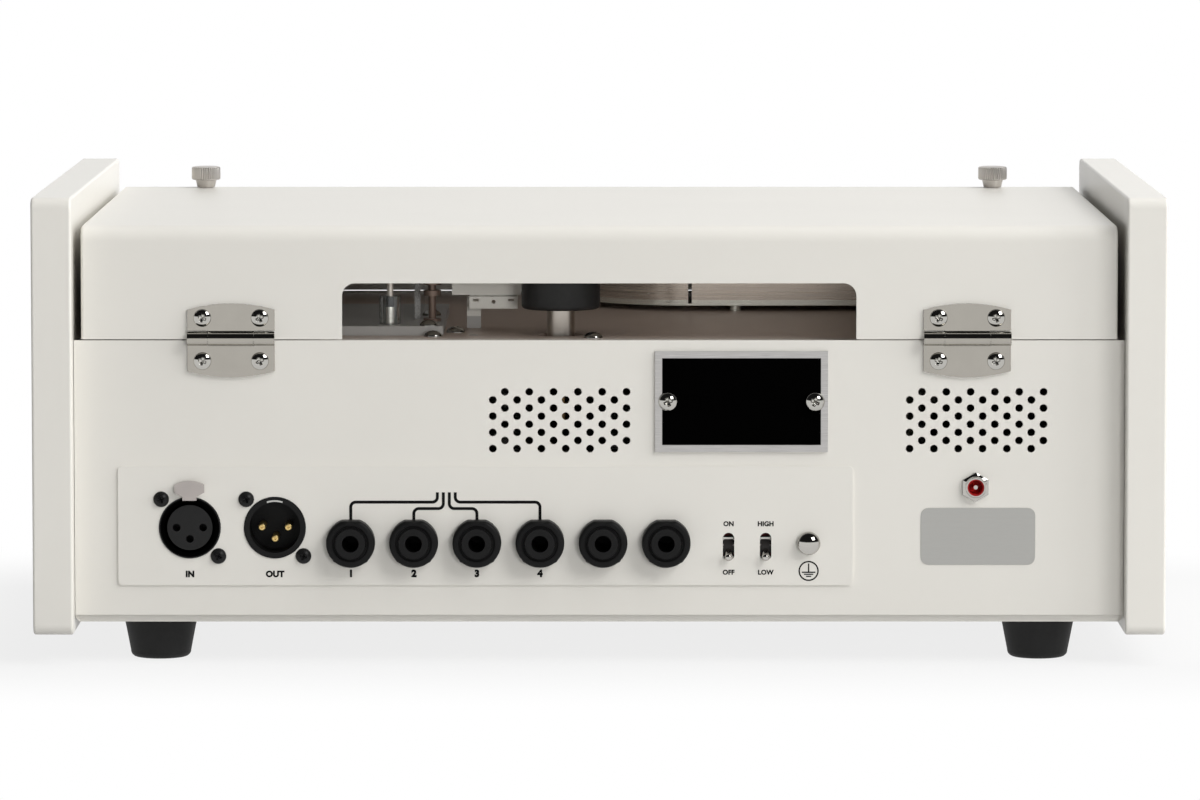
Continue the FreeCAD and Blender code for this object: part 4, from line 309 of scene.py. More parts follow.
class Wire:
    """A node's output that Python's operators can be used on; each adds one Math node."""

    def __init__(self, nodes, socket):
        self.nodes, self.socket = nodes, socket

    def __add__(self, other):
        return self.nodes.math("ADD", self, other)

    def __sub__(self, other):
        return self.nodes.math("SUBTRACT", self, other)

    def __mul__(self, other):
        return self.nodes.math("MULTIPLY", self, other)

    def __rsub__(self, other):
        return self.nodes.math("SUBTRACT", other, self)

    __radd__, __rmul__ = __add__, __mul__


class Nodes:
    """A node tree under construction."""

    def __init__(self, tree):
        self.tree = tree
        tree.nodes.clear()

    def node(self, kind, settings=None, inputs=None, output=0):
        """Add a node: settings first, then values or links for its sockets by name or number."""
        made = self.tree.nodes.new(kind)
        for name, value in (settings or {}).items():
            setattr(made, name, value)
        for key, value in (inputs or {}).items():
            if isinstance(value, Wire):
                self.tree.links.new(value.socket, made.inputs[key])
            else:
                made.inputs[key].default_value = value
        return Wire(self, made.outputs[output]) if made.outputs else None

    def math(self, operation, first, second=0.0):
        return self.node("ShaderNodeMath", {"operation": operation}, {0: first, 1: second})

    def larger(self, first, second):
        return self.math("MAXIMUM", first, second)

    def size(self, value):
        return self.math("ABSOLUTE", value)

    def length(self, first, second):
        """The long side of a right-angled triangle."""
        return self.math("SQRT", first * first + second * second)

    def step(self, value, low, high):
        """0 below low, 1 above high, and smooth between them."""
        return self.node("ShaderNodeMapRange", {"interpolation_type": "SMOOTHSTEP"},
                         {"Value": value, "From Min": low, "From Max": high})

    def ray(self, kind):
        """1 on rays of a kind, such as Camera or Glossy, and 0 on others."""
        return self.node("ShaderNodeLightPath", output=f"Is {kind} Ray")

    def spot(self, scale):
        """Object coordinates, stretched by a scale."""
        place = self.node("ShaderNodeTexCoord", output="Object")
        return self.node("ShaderNodeMapping", {"vector_type": "POINT"},
                         {"Vector": place, "Scale": scale})

    def axes(self, middle=(0, 0, 0)):
        """The three Object coordinates, counted from a middle."""
        place = self.spot((1 / MM,) * 3)
        moved = self.node("ShaderNodeVectorMath", {"operation": "SUBTRACT"}, {0: place, 1: middle})
        return [self.node("ShaderNodeSeparateXYZ", None, {0: moved}, number) for number in range(3)]

    def noise(self, size, detail=2.0, roughness=0.5, stretch=(1, 1, 1)):
        """Noise whose grains are about this size."""
        scale = tuple(part / (size * MM) for part in stretch)
        return self.node("ShaderNodeTexNoise", None, {"Vector": self.spot(scale), "Scale": 1.0,
                                                      "Detail": detail, "Roughness": roughness})

    def cells(self, size, feature="F1"):
        """Distance to the middles or edges of the cells of a Voronoi pattern of this size."""
        return self.node("ShaderNodeTexVoronoi", {"feature": feature},
                         {"Vector": self.spot((1 / (size * MM),) * 3), "Scale": 1.0}, "Distance")

    def blend(self, share, first, second):
        """Mix two colours."""
        first, second = (opaque(colour) for colour in (first, second))
        return self.node("ShaderNodeMix", {"data_type": "RGBA"}, {0: share, 6: first, 7: second}, 2)

    def varied(self, share, colour, low, high):
        """A colour that runs with a pattern from one factor of itself to another."""
        return self.blend(share, shade(colour, low), shade(colour, high))


CONSTANTS = {
    "coat": "Coat Weight",
    "coat_roughness": "Coat Roughness",
    "clear": "Transmission Weight",
    "ior": "IOR",
    "specular": "Specular IOR Level",
}


class Finish(Nodes):
    """A material made of one or two Principled shaders."""

    def __init__(self, name):
        self.material = bpy.data.materials.new(name)
        self.material.use_nodes = True
        super().__init__(self.material.node_tree)

    def shader(self, colour, roughness, metallic=0.0, bump=None, **constants):
        """A Principled shader. bump is (height, strength, distance)."""
        inputs = {"Base Color": opaque(colour), "Roughness": roughness, "Metallic": metallic}
        if bump:
            height, strength, distance = bump
            named = {"Height": height, "Strength": strength, "Distance": distance * MM}
            inputs["Normal"] = self.node("ShaderNodeBump", None, named)
        inputs.update({CONSTANTS[name]: value for name, value in constants.items()})
        return self.node("ShaderNodeBsdfPrincipled", None, inputs)

    def done(self, *inputs, **constants):
        """Finish the material with one shader."""
        return self.joined(self.shader(*inputs, **constants))

    def mixed(self, share, first, second):
        """Finish the material with two shaders, the second where share is 1."""
        return self.joined(self.node("ShaderNodeMixShader", None, {0: share, 1: first, 2: second}))

    def joined(self, shader):
        self.node("ShaderNodeOutputMaterial", None, {0: shader})
        return self.material


def opaque(colour):
    """A colour with its fourth number, or a link as it is."""
    return colour if isinstance(colour, Wire) else (*colour, 1.0)


def shade(colour, factor):
    """A colour made darker or lighter."""
    return tuple(min(1.0, part * factor) for part in colour)


# ---------------------------------------------------------------- finishes


def paint(name, colour, roughness, peel, rear=None):
    """Sprayed and baked paint: fine orange peel, faint cloudiness, a little gloss.

    With a rear colour, it turns to that over the last stretch towards the connector panel. That is
    painted light: a lit copy of the paint where light falls in through the window behind the lid.
    """
    made = Finish(name)
    grain = made.noise(peel)
    tone = made.varied(made.noise(60, 3.0), colour, 0.975, 1.02)
    if rear:
        # painted light: over the last stretch by the window the paint turns to the rear colour
        painted_window_light = made.step(made.axes()[1], REAR_FACE - 24, REAR_FACE - 4)
        tone = made.blend(painted_window_light, tone, rear)
    return made.done(tone, roughness + (grain - 0.5) * 0.12, 0.0, (grain, 0.35, 0.02),
                     coat=0.12, coat_roughness=0.25)


def brushed(name, colour, roughness, grain=0.12, length=14, contrast=0.16):
    """Brushed metal: noise drawn out from left to right, in colour, gloss and height."""
    made = Finish(name)
    stretch = (grain / length, 1, 1)
    fine, broad = made.noise(grain, 3.0, 0.6, stretch), made.noise(grain * 9, 2.0, 0.5, stretch)
    streak = fine * 0.7 + broad * 0.3
    share = made.step(streak, 0.3, 0.7)
    tone = made.varied(share, colour, 1 - contrast, 1 + contrast / 2)
    return made.done(tone, roughness + (share - 0.5) * 0.14, 1.0, (streak, 0.25, 0.01))


def plated(name, colour, roughness, grain=0.5, smudge=0.06):
    """Bright plating with faint handling marks."""
    made = Finish(name)
    marks = made.noise(7, 4.0, 0.6)
    return made.done(made.varied(marks, colour, 0.96, 1.03),
                     roughness + made.step(marks, 0.45, 0.75) * smudge, 1.0,
                     (made.noise(grain), 0.06, 0.01))


def satin(name, colour, roughness):
    """Satin plating over stamped sheet: a very fine tooth and soft clouds."""
    made = Finish(name)
    tooth = made.noise(0.16)
    tone = made.varied(made.noise(9, 3.0), colour, 0.93, 1.05)
    return made.done(tone, roughness + (tooth - 0.5) * 0.16, 1.0, (tooth, 0.18, 0.008))


def moulded(name, colour, roughness, tooth=0.28, depth=0.02, specular=0.25, coat=0.0):
    """Moulded plastic: a fine spark-eroded tooth and slow changes in gloss."""
    made = Finish(name)
    spark = made.noise(tooth, 3.0, 0.6)
    flow = made.noise(12)
    roughness = roughness + (spark - 0.5) * 0.18 + (flow - 0.5) * 0.08
    return made.done(made.varied(flow, colour, 0.88, 1.14), roughness, 0.0, (spark, 0.4, depth),
                     specular=specular, coat=coat)


def rubbery(name, colour, roughness=0.62):
    """Rubber: a dull skin with a fine grain and a little bloom."""
    made = Finish(name)
    grain = made.noise(0.4, 4.0, 0.65)
    bloom = made.step(made.noise(8, 4.0, 0.6), 0.45, 0.8)
    tone = made.varied(bloom * 0.35, colour, 1, 2.2)
    return made.done(tone, roughness + (grain - 0.5) * 0.2, 0.0, (grain, 0.4, 0.03),
                     specular=0.3)


def acrylic(made, colour, waviness=0.0):
    """The shader of clear acrylic, with a trace of haze."""
    haze = made.noise(15, 3.0)
    bump = (haze, waviness, 0.02) if waviness else None
    return made.shader(made.varied(haze, colour, 0.98, 1), 0.03 + haze * 0.03, 0.0, bump,
                       clear=1.0, ior=1.49)


def meter_window_finish(name, colour):
    """Clear acrylic, a little wavy."""
    made = Finish(name)
    return made.joined(acrylic(made, colour, 0.04))


def covers_finish(name, colour):
    """Clear acrylic, with the sawn rear edge of the guard left frosted."""
    made = Finish(name)
    guard_edge = 68.9
    edge = 1 - made.step(made.size(made.axes((0, guard_edge, 0))[1]), 0.25, 0.35)
    saw = made.step(made.noise(0.5, 4.0, 0.7), 0.35, 0.65)
    frosted = made.shader(made.blend(saw, (0.24, 0.235, 0.225), (0.52, 0.51, 0.49)), 0.6)
    return made.mixed(edge, acrylic(made, colour), frosted)


def ink(name, colour):
    """Screen print: matt, with a slight tooth."""
    made = Finish(name)
    tooth = made.noise(0.2)
    return made.done(made.varied(tooth, colour, 0.8, 1.3), 0.55 + tooth * 0.1, 0.0,
                     (tooth, 0.2, 0.01), specular=0.06)


def head_plate_finish(name, plate, block):
    """Dull paint on the raised plate, and light grey enamel on the block and its bracket."""
    made = Finish(name)
    high = made.step(made.axes()[2], DECK_LEVEL + 4.5, DECK_LEVEL + 5)
    grain = made.noise(0.5)
    cloud = made.noise(30, 3.0)
    dull, light = made.varied(cloud, plate, 0.95, 1.05), made.varied(cloud, block, 0.98, 1.01)
    tone = made.blend(high, dull, light)
    return made.done(tone, 0.45 + (grain - 0.5) * 0.1, 0.0, (grain, 0.3, 0.015))


def name_plate_finish(name, metal, field):
    """Brushed rim, and a deep black field inside it."""
    low, high = box("name_plate")
    half, rim, soft = (high - low) / 2, 2.7, 0.05
    made = Finish(name)
    across, _, up = made.axes((low + high) / 2)
    wide = made.step(made.size(across), half.x - rim - soft, half.x - rim)
    tall = made.step(made.size(up), half.z - rim - soft, half.z - rim)
    bare = made.larger(wide, tall)
    lines = made.noise(0.1, 3.0, 0.6, (1 / 120, 1, 1))
    steel = made.varied(made.step(lines, 0.3, 0.7), metal, 0.72, 1.15)
    black = made.varied(made.noise(0.3), field, 1, 1.6)
    return made.done(made.blend(bare, black, steel), 0.16 + bare * (0.12 + lines * 0.2), bare,
                     (lines * bare, 0.2, 0.01), specular=0.0)


def tank_finish(name, colour):
    """Aluminium brushed along the wall, with coarser scratches, and painted light on the foot: the
    lowest few millimetres of the wall and its pegs are made lighter.
    """
    made = Finish(name)
    low = box("tape_tank")[0].z
    # painted light: the foot of the wall and the pegs under it get a lighter copy of the colour
    foot = 1 - made.step(made.axes()[2], low + 4.3, low + 4.5)
    fine = made.noise(0.22, 4.0, 0.7, (1 / 220, 1 / 220, 1))
    coarse = made.noise(1.1, 3.0, 0.6, (1 / 90, 1 / 90, 1))
    streak = fine * 0.6 + coarse * 0.4
    share = made.step(streak, 0.32, 0.68)
    tone = made.blend(foot, made.varied(share, colour, 0.7, 1.15), shade(colour, 1.35))
    return made.done(tone, 0.19 + share * 0.12, 0.8, (streak, 0.25, 0.01))


def guide_finish(name, colour):
    """Ground steel rod, and guides on either side of it in a dim brown that is painted shade, for
    the shadow they stand in under the lid.
    """
    made = Finish(name)
    across = made.axes()[0]
    rod = made.step(across, 74, 75) * (1 - made.step(across, 88, 89))
    lines = made.noise(0.1, 2.0, 0.5, (1, 1, 1 / 30))
    # painted shade: the dim brown of the guides stands in for shadow
    bronze = made.blend(lines, (0.20, 0.145, 0.115), (0.26, 0.19, 0.155))
    tone = made.blend(rod, bronze, made.varied(lines, colour, 1.15, 1.45))
    return made.done(tone, 0.36 + lines * 0.08, 0.6, (lines, 0.1, 0.01))


def socket_finish(name, colour):
    """Moulded black, with painted shade in the gap between the insert and the rim: a ring there is
    near-black and matt.
    """
    low, high = box("xlr_input_socket")
    made = Finish(name)
    across, _, up = made.axes((low + high) / 2)
    radius = made.length(across, up)
    # painted shade: the ring between the insert and the rim
    painted_gap_shade = made.step(radius, 8.65, 8.8) * (1 - made.step(radius, 11.3, 11.5))
    spark = made.noise(0.28, 3.0, 0.6)
    plain = made.shader(made.varied(spark, colour, 1.1, 1.4), 0.42 + (spark - 0.5) * 0.15, 0.0,
                        (spark, 0.4, 0.02), specular=0.2)
    deep = made.shader(made.blend(spark, (0.0004,) * 3, (0.001,) * 3), 0.9, specular=0.0)
    return made.mixed(painted_gap_shade, plain, deep)


def insulator_finish(name, red):
    """Moulded red, made lighter down in the throat than on the mouth: painted light against the
    shade inside the throat.
    """
    made = Finish(name)
    mouth = box("dc_inlet_insulator")[1].y
    # painted light: the throat gets a lighter copy of the red
    deep = 1 - made.step(made.axes()[1], mouth - 0.6, mouth - 0.1)
    flow = made.noise(4)
    tone = made.blend(flow, made.varied(deep, red, 0.8, 1.9), made.varied(deep, red, 1, 2.2))
    return made.done(tone, 0.35 + flow * 0.1, 0.0, (flow, 0.1, 0.02), specular=0.2)


def switch_finish(name, red):
    """Red at both ends of each slot, and black in the middle where the lever goes in: painted shade
    for the dark well.
    """
    made = Finish(name)
    level = made.size(made.axes((0, 0, SWITCH_LEVEL))[2])
    flow = made.noise(6)
    # painted shade: the middle of each slot is black
    ends = made.step(level, 3.2, 3.5)
    tone = made.blend(ends, (0.006, 0.004, 0.004), made.varied(flow, red, 0.85, 1.1))
    return made.done(tone, 0.3 + flow * 0.1, 0.0, (flow, 0.1, 0.02), specular=0.3)


def meter_finish(name, black, card):
    """Black case, and a cream dial at the bottom of its recess."""
    low, high = box("meter_window")
    made = Finish(name)
    across, along, up = made.axes((low + high) / 2)
    wide = made.step(made.size(across), 27.9, 28.05)
    tall = made.step(made.size(up), 18.9, 19.05)
    dial = (1 - made.larger(wide, tall)) * made.step(along, 3.0, 3.2)
    paper = made.varied(made.noise(0.5, 3.0), card, 0.96, 1)
    tooth = made.noise(0.25)
    tone = made.blend(dial, made.varied(tooth, black, 0.85, 1.2), paper)
    return made.done(tone, 0.3 + dial * 0.35, 0.0, (tooth, 0.2, 0.01))


def board_finish(name, green):
    """Solder mask over copper tracks, with bare pads."""
    made = Finish(name)
    copper = 1 - made.step(made.cells(3.2, "DISTANCE_TO_EDGE"), 0.05, 0.09)
    pads = 1 - made.step(made.cells(5.08), 0.13, 0.17)
    tone = made.blend(pads, made.varied(copper, green, 1, 1.8), (0.78, 0.74, 0.66))
    return made.done(tone, 0.32 + pads * 0.1, pads * 0.9, (copper + pads, 0.3, 0.03))


def tape_finish(name, colour):
    """Tape: a smooth oxide coat with faint lengthwise wear."""
    made = Finish(name)
    wear = made.noise(0.4, 3.0, 0.6, (1 / 60, 1 / 60, 1))
    return made.done(made.varied(wear, colour, 0.75, 1.5), 0.24 + wear * 0.14, 0.0,
                     (wear, 0.1, 0.01))


# ---------------------------------------------------------------- settings


def colour_property(label, about, default):
    return bpy.props.FloatVectorProperty(name=label, description=about, subtype="COLOR", size=3,
                                         min=0.0, max=1.0, default=default)


def number_property(label, about, default, **more):
    return bpy.props.FloatProperty(name=label, description=about, default=default, **more)


def length_property(label, about, default):
    return number_property(label, about, default, unit="LENGTH")


class EchoCaseSettings(bpy.types.PropertyGroup):
    """Paint of the case."""

    panel: colour_property("Panels", "Paint of the folded panels and the lid", (0.71, 0.69, 0.64))
    cheek: colour_property("Cheeks", "Lacquer of the side cheeks", (0.72, 0.70, 0.65))
    deck: colour_property("Deck", "Paint of the deck under the lid", (0.52, 0.42, 0.355))
    plate: colour_property("Head plate", "Paint of the raised plate", (0.44, 0.43, 0.41))
    block: colour_property("Head block", "Enamel of the head block", (0.78, 0.76, 0.70))
    roughness: number_property("Roughness", "Roughness of the paint", 0.42,
                               subtype="FACTOR", min=0.0, max=1.0)
    peel: length_property("Orange peel", "Size of the paint's grain", 0.9 * MM)


class EchoMetalSettings(bpy.types.PropertyGroup):
    """Plated and brushed metal."""

    nickel: colour_property("Nickel", "Hinge leaves", (0.405, 0.385, 0.345))
    chrome: colour_property("Chrome", "Levers and nuts", (0.50, 0.485, 0.455))
    screw: colour_property("Screws", "Plating of the screws", (0.48, 0.47, 0.44))
    aluminium: colour_property("Aluminium", "Brushed rim of the name plate", (0.60, 0.585, 0.57))
    tank: colour_property("Tank", "Brushed wall of the tape tank", (0.88, 0.77, 0.67))
    post: colour_property("Posts", "Ground steel of the posts and guides", (0.66, 0.61, 0.55))
    gold: colour_property("Gold", "Plated contacts", (0.83, 0.62, 0.26))
    steel: colour_property("Steel", "Turned and pressed parts inside", (0.52, 0.51, 0.50))


class EchoPlasticSettings(bpy.types.PropertyGroup):
    """Plastic and rubber."""

    black: colour_property("Black", "Connectors, knobs and meter case", (0.010, 0.010, 0.010))
    red: colour_property("Red", "Inlet insulator and switch bodies", (0.36, 0.012, 0.012))
    grey: colour_property("Grey", "Release tab", (0.41, 0.375, 0.355))
    rubber: colour_property("Rubber", "Feet, belt and roller", (0.02, 0.02, 0.02))


class EchoPrintSettings(bpy.types.PropertyGroup):
    """Printed marks."""

    ink: colour_property("Ink", "Black print", (0.006, 0.006, 0.006))
    line: length_property("Line", "Width of the routing lines", 1.15 * MM)
    numeral: length_property("Numerals", "Height setting of the jack numbers", 3.6 * MM)


class EchoStageSettings(bpy.types.PropertyGroup):
    """Floor, light and camera."""

    floor: length_property("Floor", "Side of the floor", 40.0)
    lens: number_property("Lens", "Focal length in millimetres", 216.0)
    distance: length_property("Distance", "Camera to rear panel", 2762.7 * MM)
    height: length_property("Height", "Camera above the floor", 345.8 * MM)
    pitch: number_property("Pitch", "Camera's tilt below level", math.radians(5.04),
                           subtype="ANGLE")
    key: number_property("Key", "Light level from the key lamp", 0.35)
    front: number_property("Front", "Light level from behind the camera", 0.24)
    top: number_property("Top", "Light level from above", 0.76)
    side: number_property("Side", "Light level from the side", 0.40)
    fill: number_property("Fill", "Light level on the control panel", 0.4)
    inner: number_property("Inner", "Light level under the lid", 0.42)
    air: number_property("Ambient", "Light level from all round", 0.17)


GROUPS = {
    "echo_case": EchoCaseSettings,
    "echo_metal": EchoMetalSettings,
    "echo_plastic": EchoPlasticSettings,
    "echo_print": EchoPrintSettings,
    "echo_stage": EchoStageSettings,
}


def dress(finish, *nodes):
    """Give CAD nodes a finish."""
    for node in nodes:
        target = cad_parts[node]
        if not target.material_slots:
            target.data.materials.append(finish)
        for slot in target.material_slots:
            slot.material = finish


# ---------------------------------------------------------------- pieces


def screw(radius, height, shank, reach, turn):
    """A pan-head screw with a cross recess, standing on z = 0.

    The head is a cap of a sphere: at distance r its level is height - R + sqrt(R * R - r * r),
    with R = (radius * radius + dome * dome) / (2 * dome), over a low rim that is rounded over its
    last twelfth. Two crossed arms and a cone in their middle are taken off it; an arm's depth
    falls from the middle to its end.
    """
    columns = 72
    share = np.sin(np.linspace(1, 0, 26) * math.pi / 2)[:, None]
    x, y = np.moveaxis(share[..., None] * circle(radius, columns), -1, 0)
    rim = height * 0.25
    dome = height - rim
    ball = (radius ** 2 + dome ** 2) / (2 * dome)
    fall = 1 - np.sqrt(1 - np.clip((share - 0.92) / 0.08, 0, 1) ** 2)
    level = height - ball + np.sqrt(ball ** 2 - (share * radius) ** 2) - rim * 0.95 * fall
    wide, long, edge, funnel = (radius * part for part in (0.11, 0.46, 0.05, 0.26))
    depth = np.zeros_like(x)
    for across, along in ((np.abs(x), np.abs(y)), (np.abs(y), np.abs(x))):
        arm = np.clip((wide - across) / edge + 1, 0, 1) * np.clip((long - along) / edge, 0, 1)
        depth = np.maximum(depth, arm * (0.75 - 0.45 * along / long))
    cone = np.clip(1 - np.hypot(x, y) / funnel, 0, 1)
    depth = np.maximum(depth, cone * 0.9) * height
    foot = turned([(0, -reach), (shank, -reach), (shank, 0.0), (radius, 0.0)], columns)
    points = np.concatenate([foot, np.stack([x, y, level - depth], -1)])
    cos, sin = math.cos(turn), math.sin(turn)
    return points @ np.array([[cos, sin, 0], [-sin, cos, 0], [0, 0, 1]])


def screws(name, body, finish, slot, node, sizes, spots):
    """One piece for the like screws of a node.

    sizes are the head's radius and height and the shank's radius and length. spots are (placing,
    across, up, out). Each screw is turned further than the one before it.
    """
    first, step = 0.35, 2.4
    grids = [placing(screw(*sizes, turn=first + number * step), *spot)
             for number, (placing, *spot) in enumerate(spots)]
    Shell(*grids).piece(name, body, finish, slot, [node], crease=28)


class ECHO_OT_case(bpy.types.Operator):
    """Paint the panels, lid, cheeks and deck"""

    bl_idname = "tape_echo.case"
    bl_label = "Case"
    bl_options = {"REGISTER", "UNDO"}

    def execute(self, context):
        case = context.scene.echo_case
        dress(paint("panel paint", case.panel, case.roughness, case.peel / MM),
              "rear_panel", "front_panel", "base_tray", "lid_shell", "connector_plate")
        dress(paint("cheek lacquer", case.cheek, case.roughness - 0.06, 1.6),
              "side_cheek_left", "side_cheek_right")
        # The deck turns to the panel colour over its rear stretch: painted light where light falls
        # in through the window.
        dress(paint("deck paint", case.deck, 0.4, 0.6, case.panel), "deck_plate")
        dress(head_plate_finish("head plate paint", case.plate, case.block), "head_plate")
        dress(rubbery("foot rubber", shade(context.scene.echo_plastic.rubber, 0.45)), "rubber_feet")
        return {"FINISHED"}


class ECHO_OT_hinges(bpy.types.Operator):
    """Finish the hinges and add their cross-recessed screws"""

    bl_idname = "tape_echo.hinges"
    bl_label = "Hinges"
    bl_options = {"REGISTER", "UNDO"}

    def execute(self, context):
        metal = context.scene.echo_metal
        dress(satin("hinge nickel", metal.nickel, 0.11), "hinge_lid_leaves", "hinge_base_leaves")
        bright = plated("screw plating", metal.screw, 0.06, smudge=0.03)
        dress(bright, "hinge_pins")
        spread, half_pitch, leaf = 141.65, 11.05, 1.2
        for half, body, level in (("lid", "lid", 133.9), ("base", "chassis", 117.3)):
            spots = [(on_rear, side * spread + end * half_pitch, level, leaf)
                     for side in (1, -1) for end in (1, -1)]
            screws(f"hinge_{half}_screw_heads", body, bright, "satin_nickel",
                   f"hinge_{half}_screws", (3.4, 1.5, 1.5, 5), spots)
        return {"FINISHED"}


class ECHO_OT_plates(bpy.types.Operator):
    """Finish the name plate, and add the rating label and the chassis screws"""

    bl_idname = "tape_echo.plates"
    bl_label = "Plates and chassis screws"
    bl_options = {"REGISTER", "UNDO"}

    def execute(self, context):
        metal = context.scene.echo_metal
        dress(name_plate_finish("name plate", metal.aluminium, (0.0006,) * 3), "name_plate")
        bright = plated("chassis screw plating", metal.screw, 0.08, smudge=0.03)
        screws("chassis_screw_heads", "chassis", bright, "satin_nickel", "chassis_screws",
               (3.75, 2.4, 2, 11.5), self.spots())
        profile = [(0, -6.1), (4.2, -6.1), (4.5, -5.9), (4.5, -4.9), (3.0, -4.9), (3.0, -1.5),
                   (2.0, -1.5), (2.0, 0.0), (0, 0.0)]
        pivot = upright(turned(profile), 49, REAR_FACE - 35, DECK_LEVEL)
        Shell(pivot).piece("arm_pivot_screw", "chassis", bright, "satin_nickel", ["chassis_screws"])
        label = on_rear(prism(rounded(44.2, 22.1, 3), -0.02, 0.22, 0.08), *RATING_LABEL)
        foil = brushed("label foil", (0.54, 0.535, 0.51), 0.5, 0.15, 4, 0.06)
        Shell(label).piece("rating_label", "chassis", foil, "brushed_aluminium")
        return {"FINISHED"}

    def spots(self):
        """Places of the screws: name plate, deck sides and feet, deck rear and raised plate."""
        low, high = box("name_plate")
        found = [(on_rear, across, (low.z + high.z) / 2, 1.2) for across in (26.5, 83.1)]
        for side in (1, -1):
            found += [(upright, side * 193.5, along, DECK_LEVEL) for along in (-93.6, 6.4, 106.4)]
            found += [(downwards, side * 170.7, along, 6) for along in (-101.6, 114.4)]
        found += [(upright, across, REAR_FACE - inset, DECK_LEVEL)
                  for across, inset in ((64.6, 28.1), (56.2, 48.7), (2.4, 21.5))]
        found += [(upright, 66.5, REAR_FACE - inset, DECK_LEVEL + 3.6) for inset in (36.6, 88.6)]
        return found


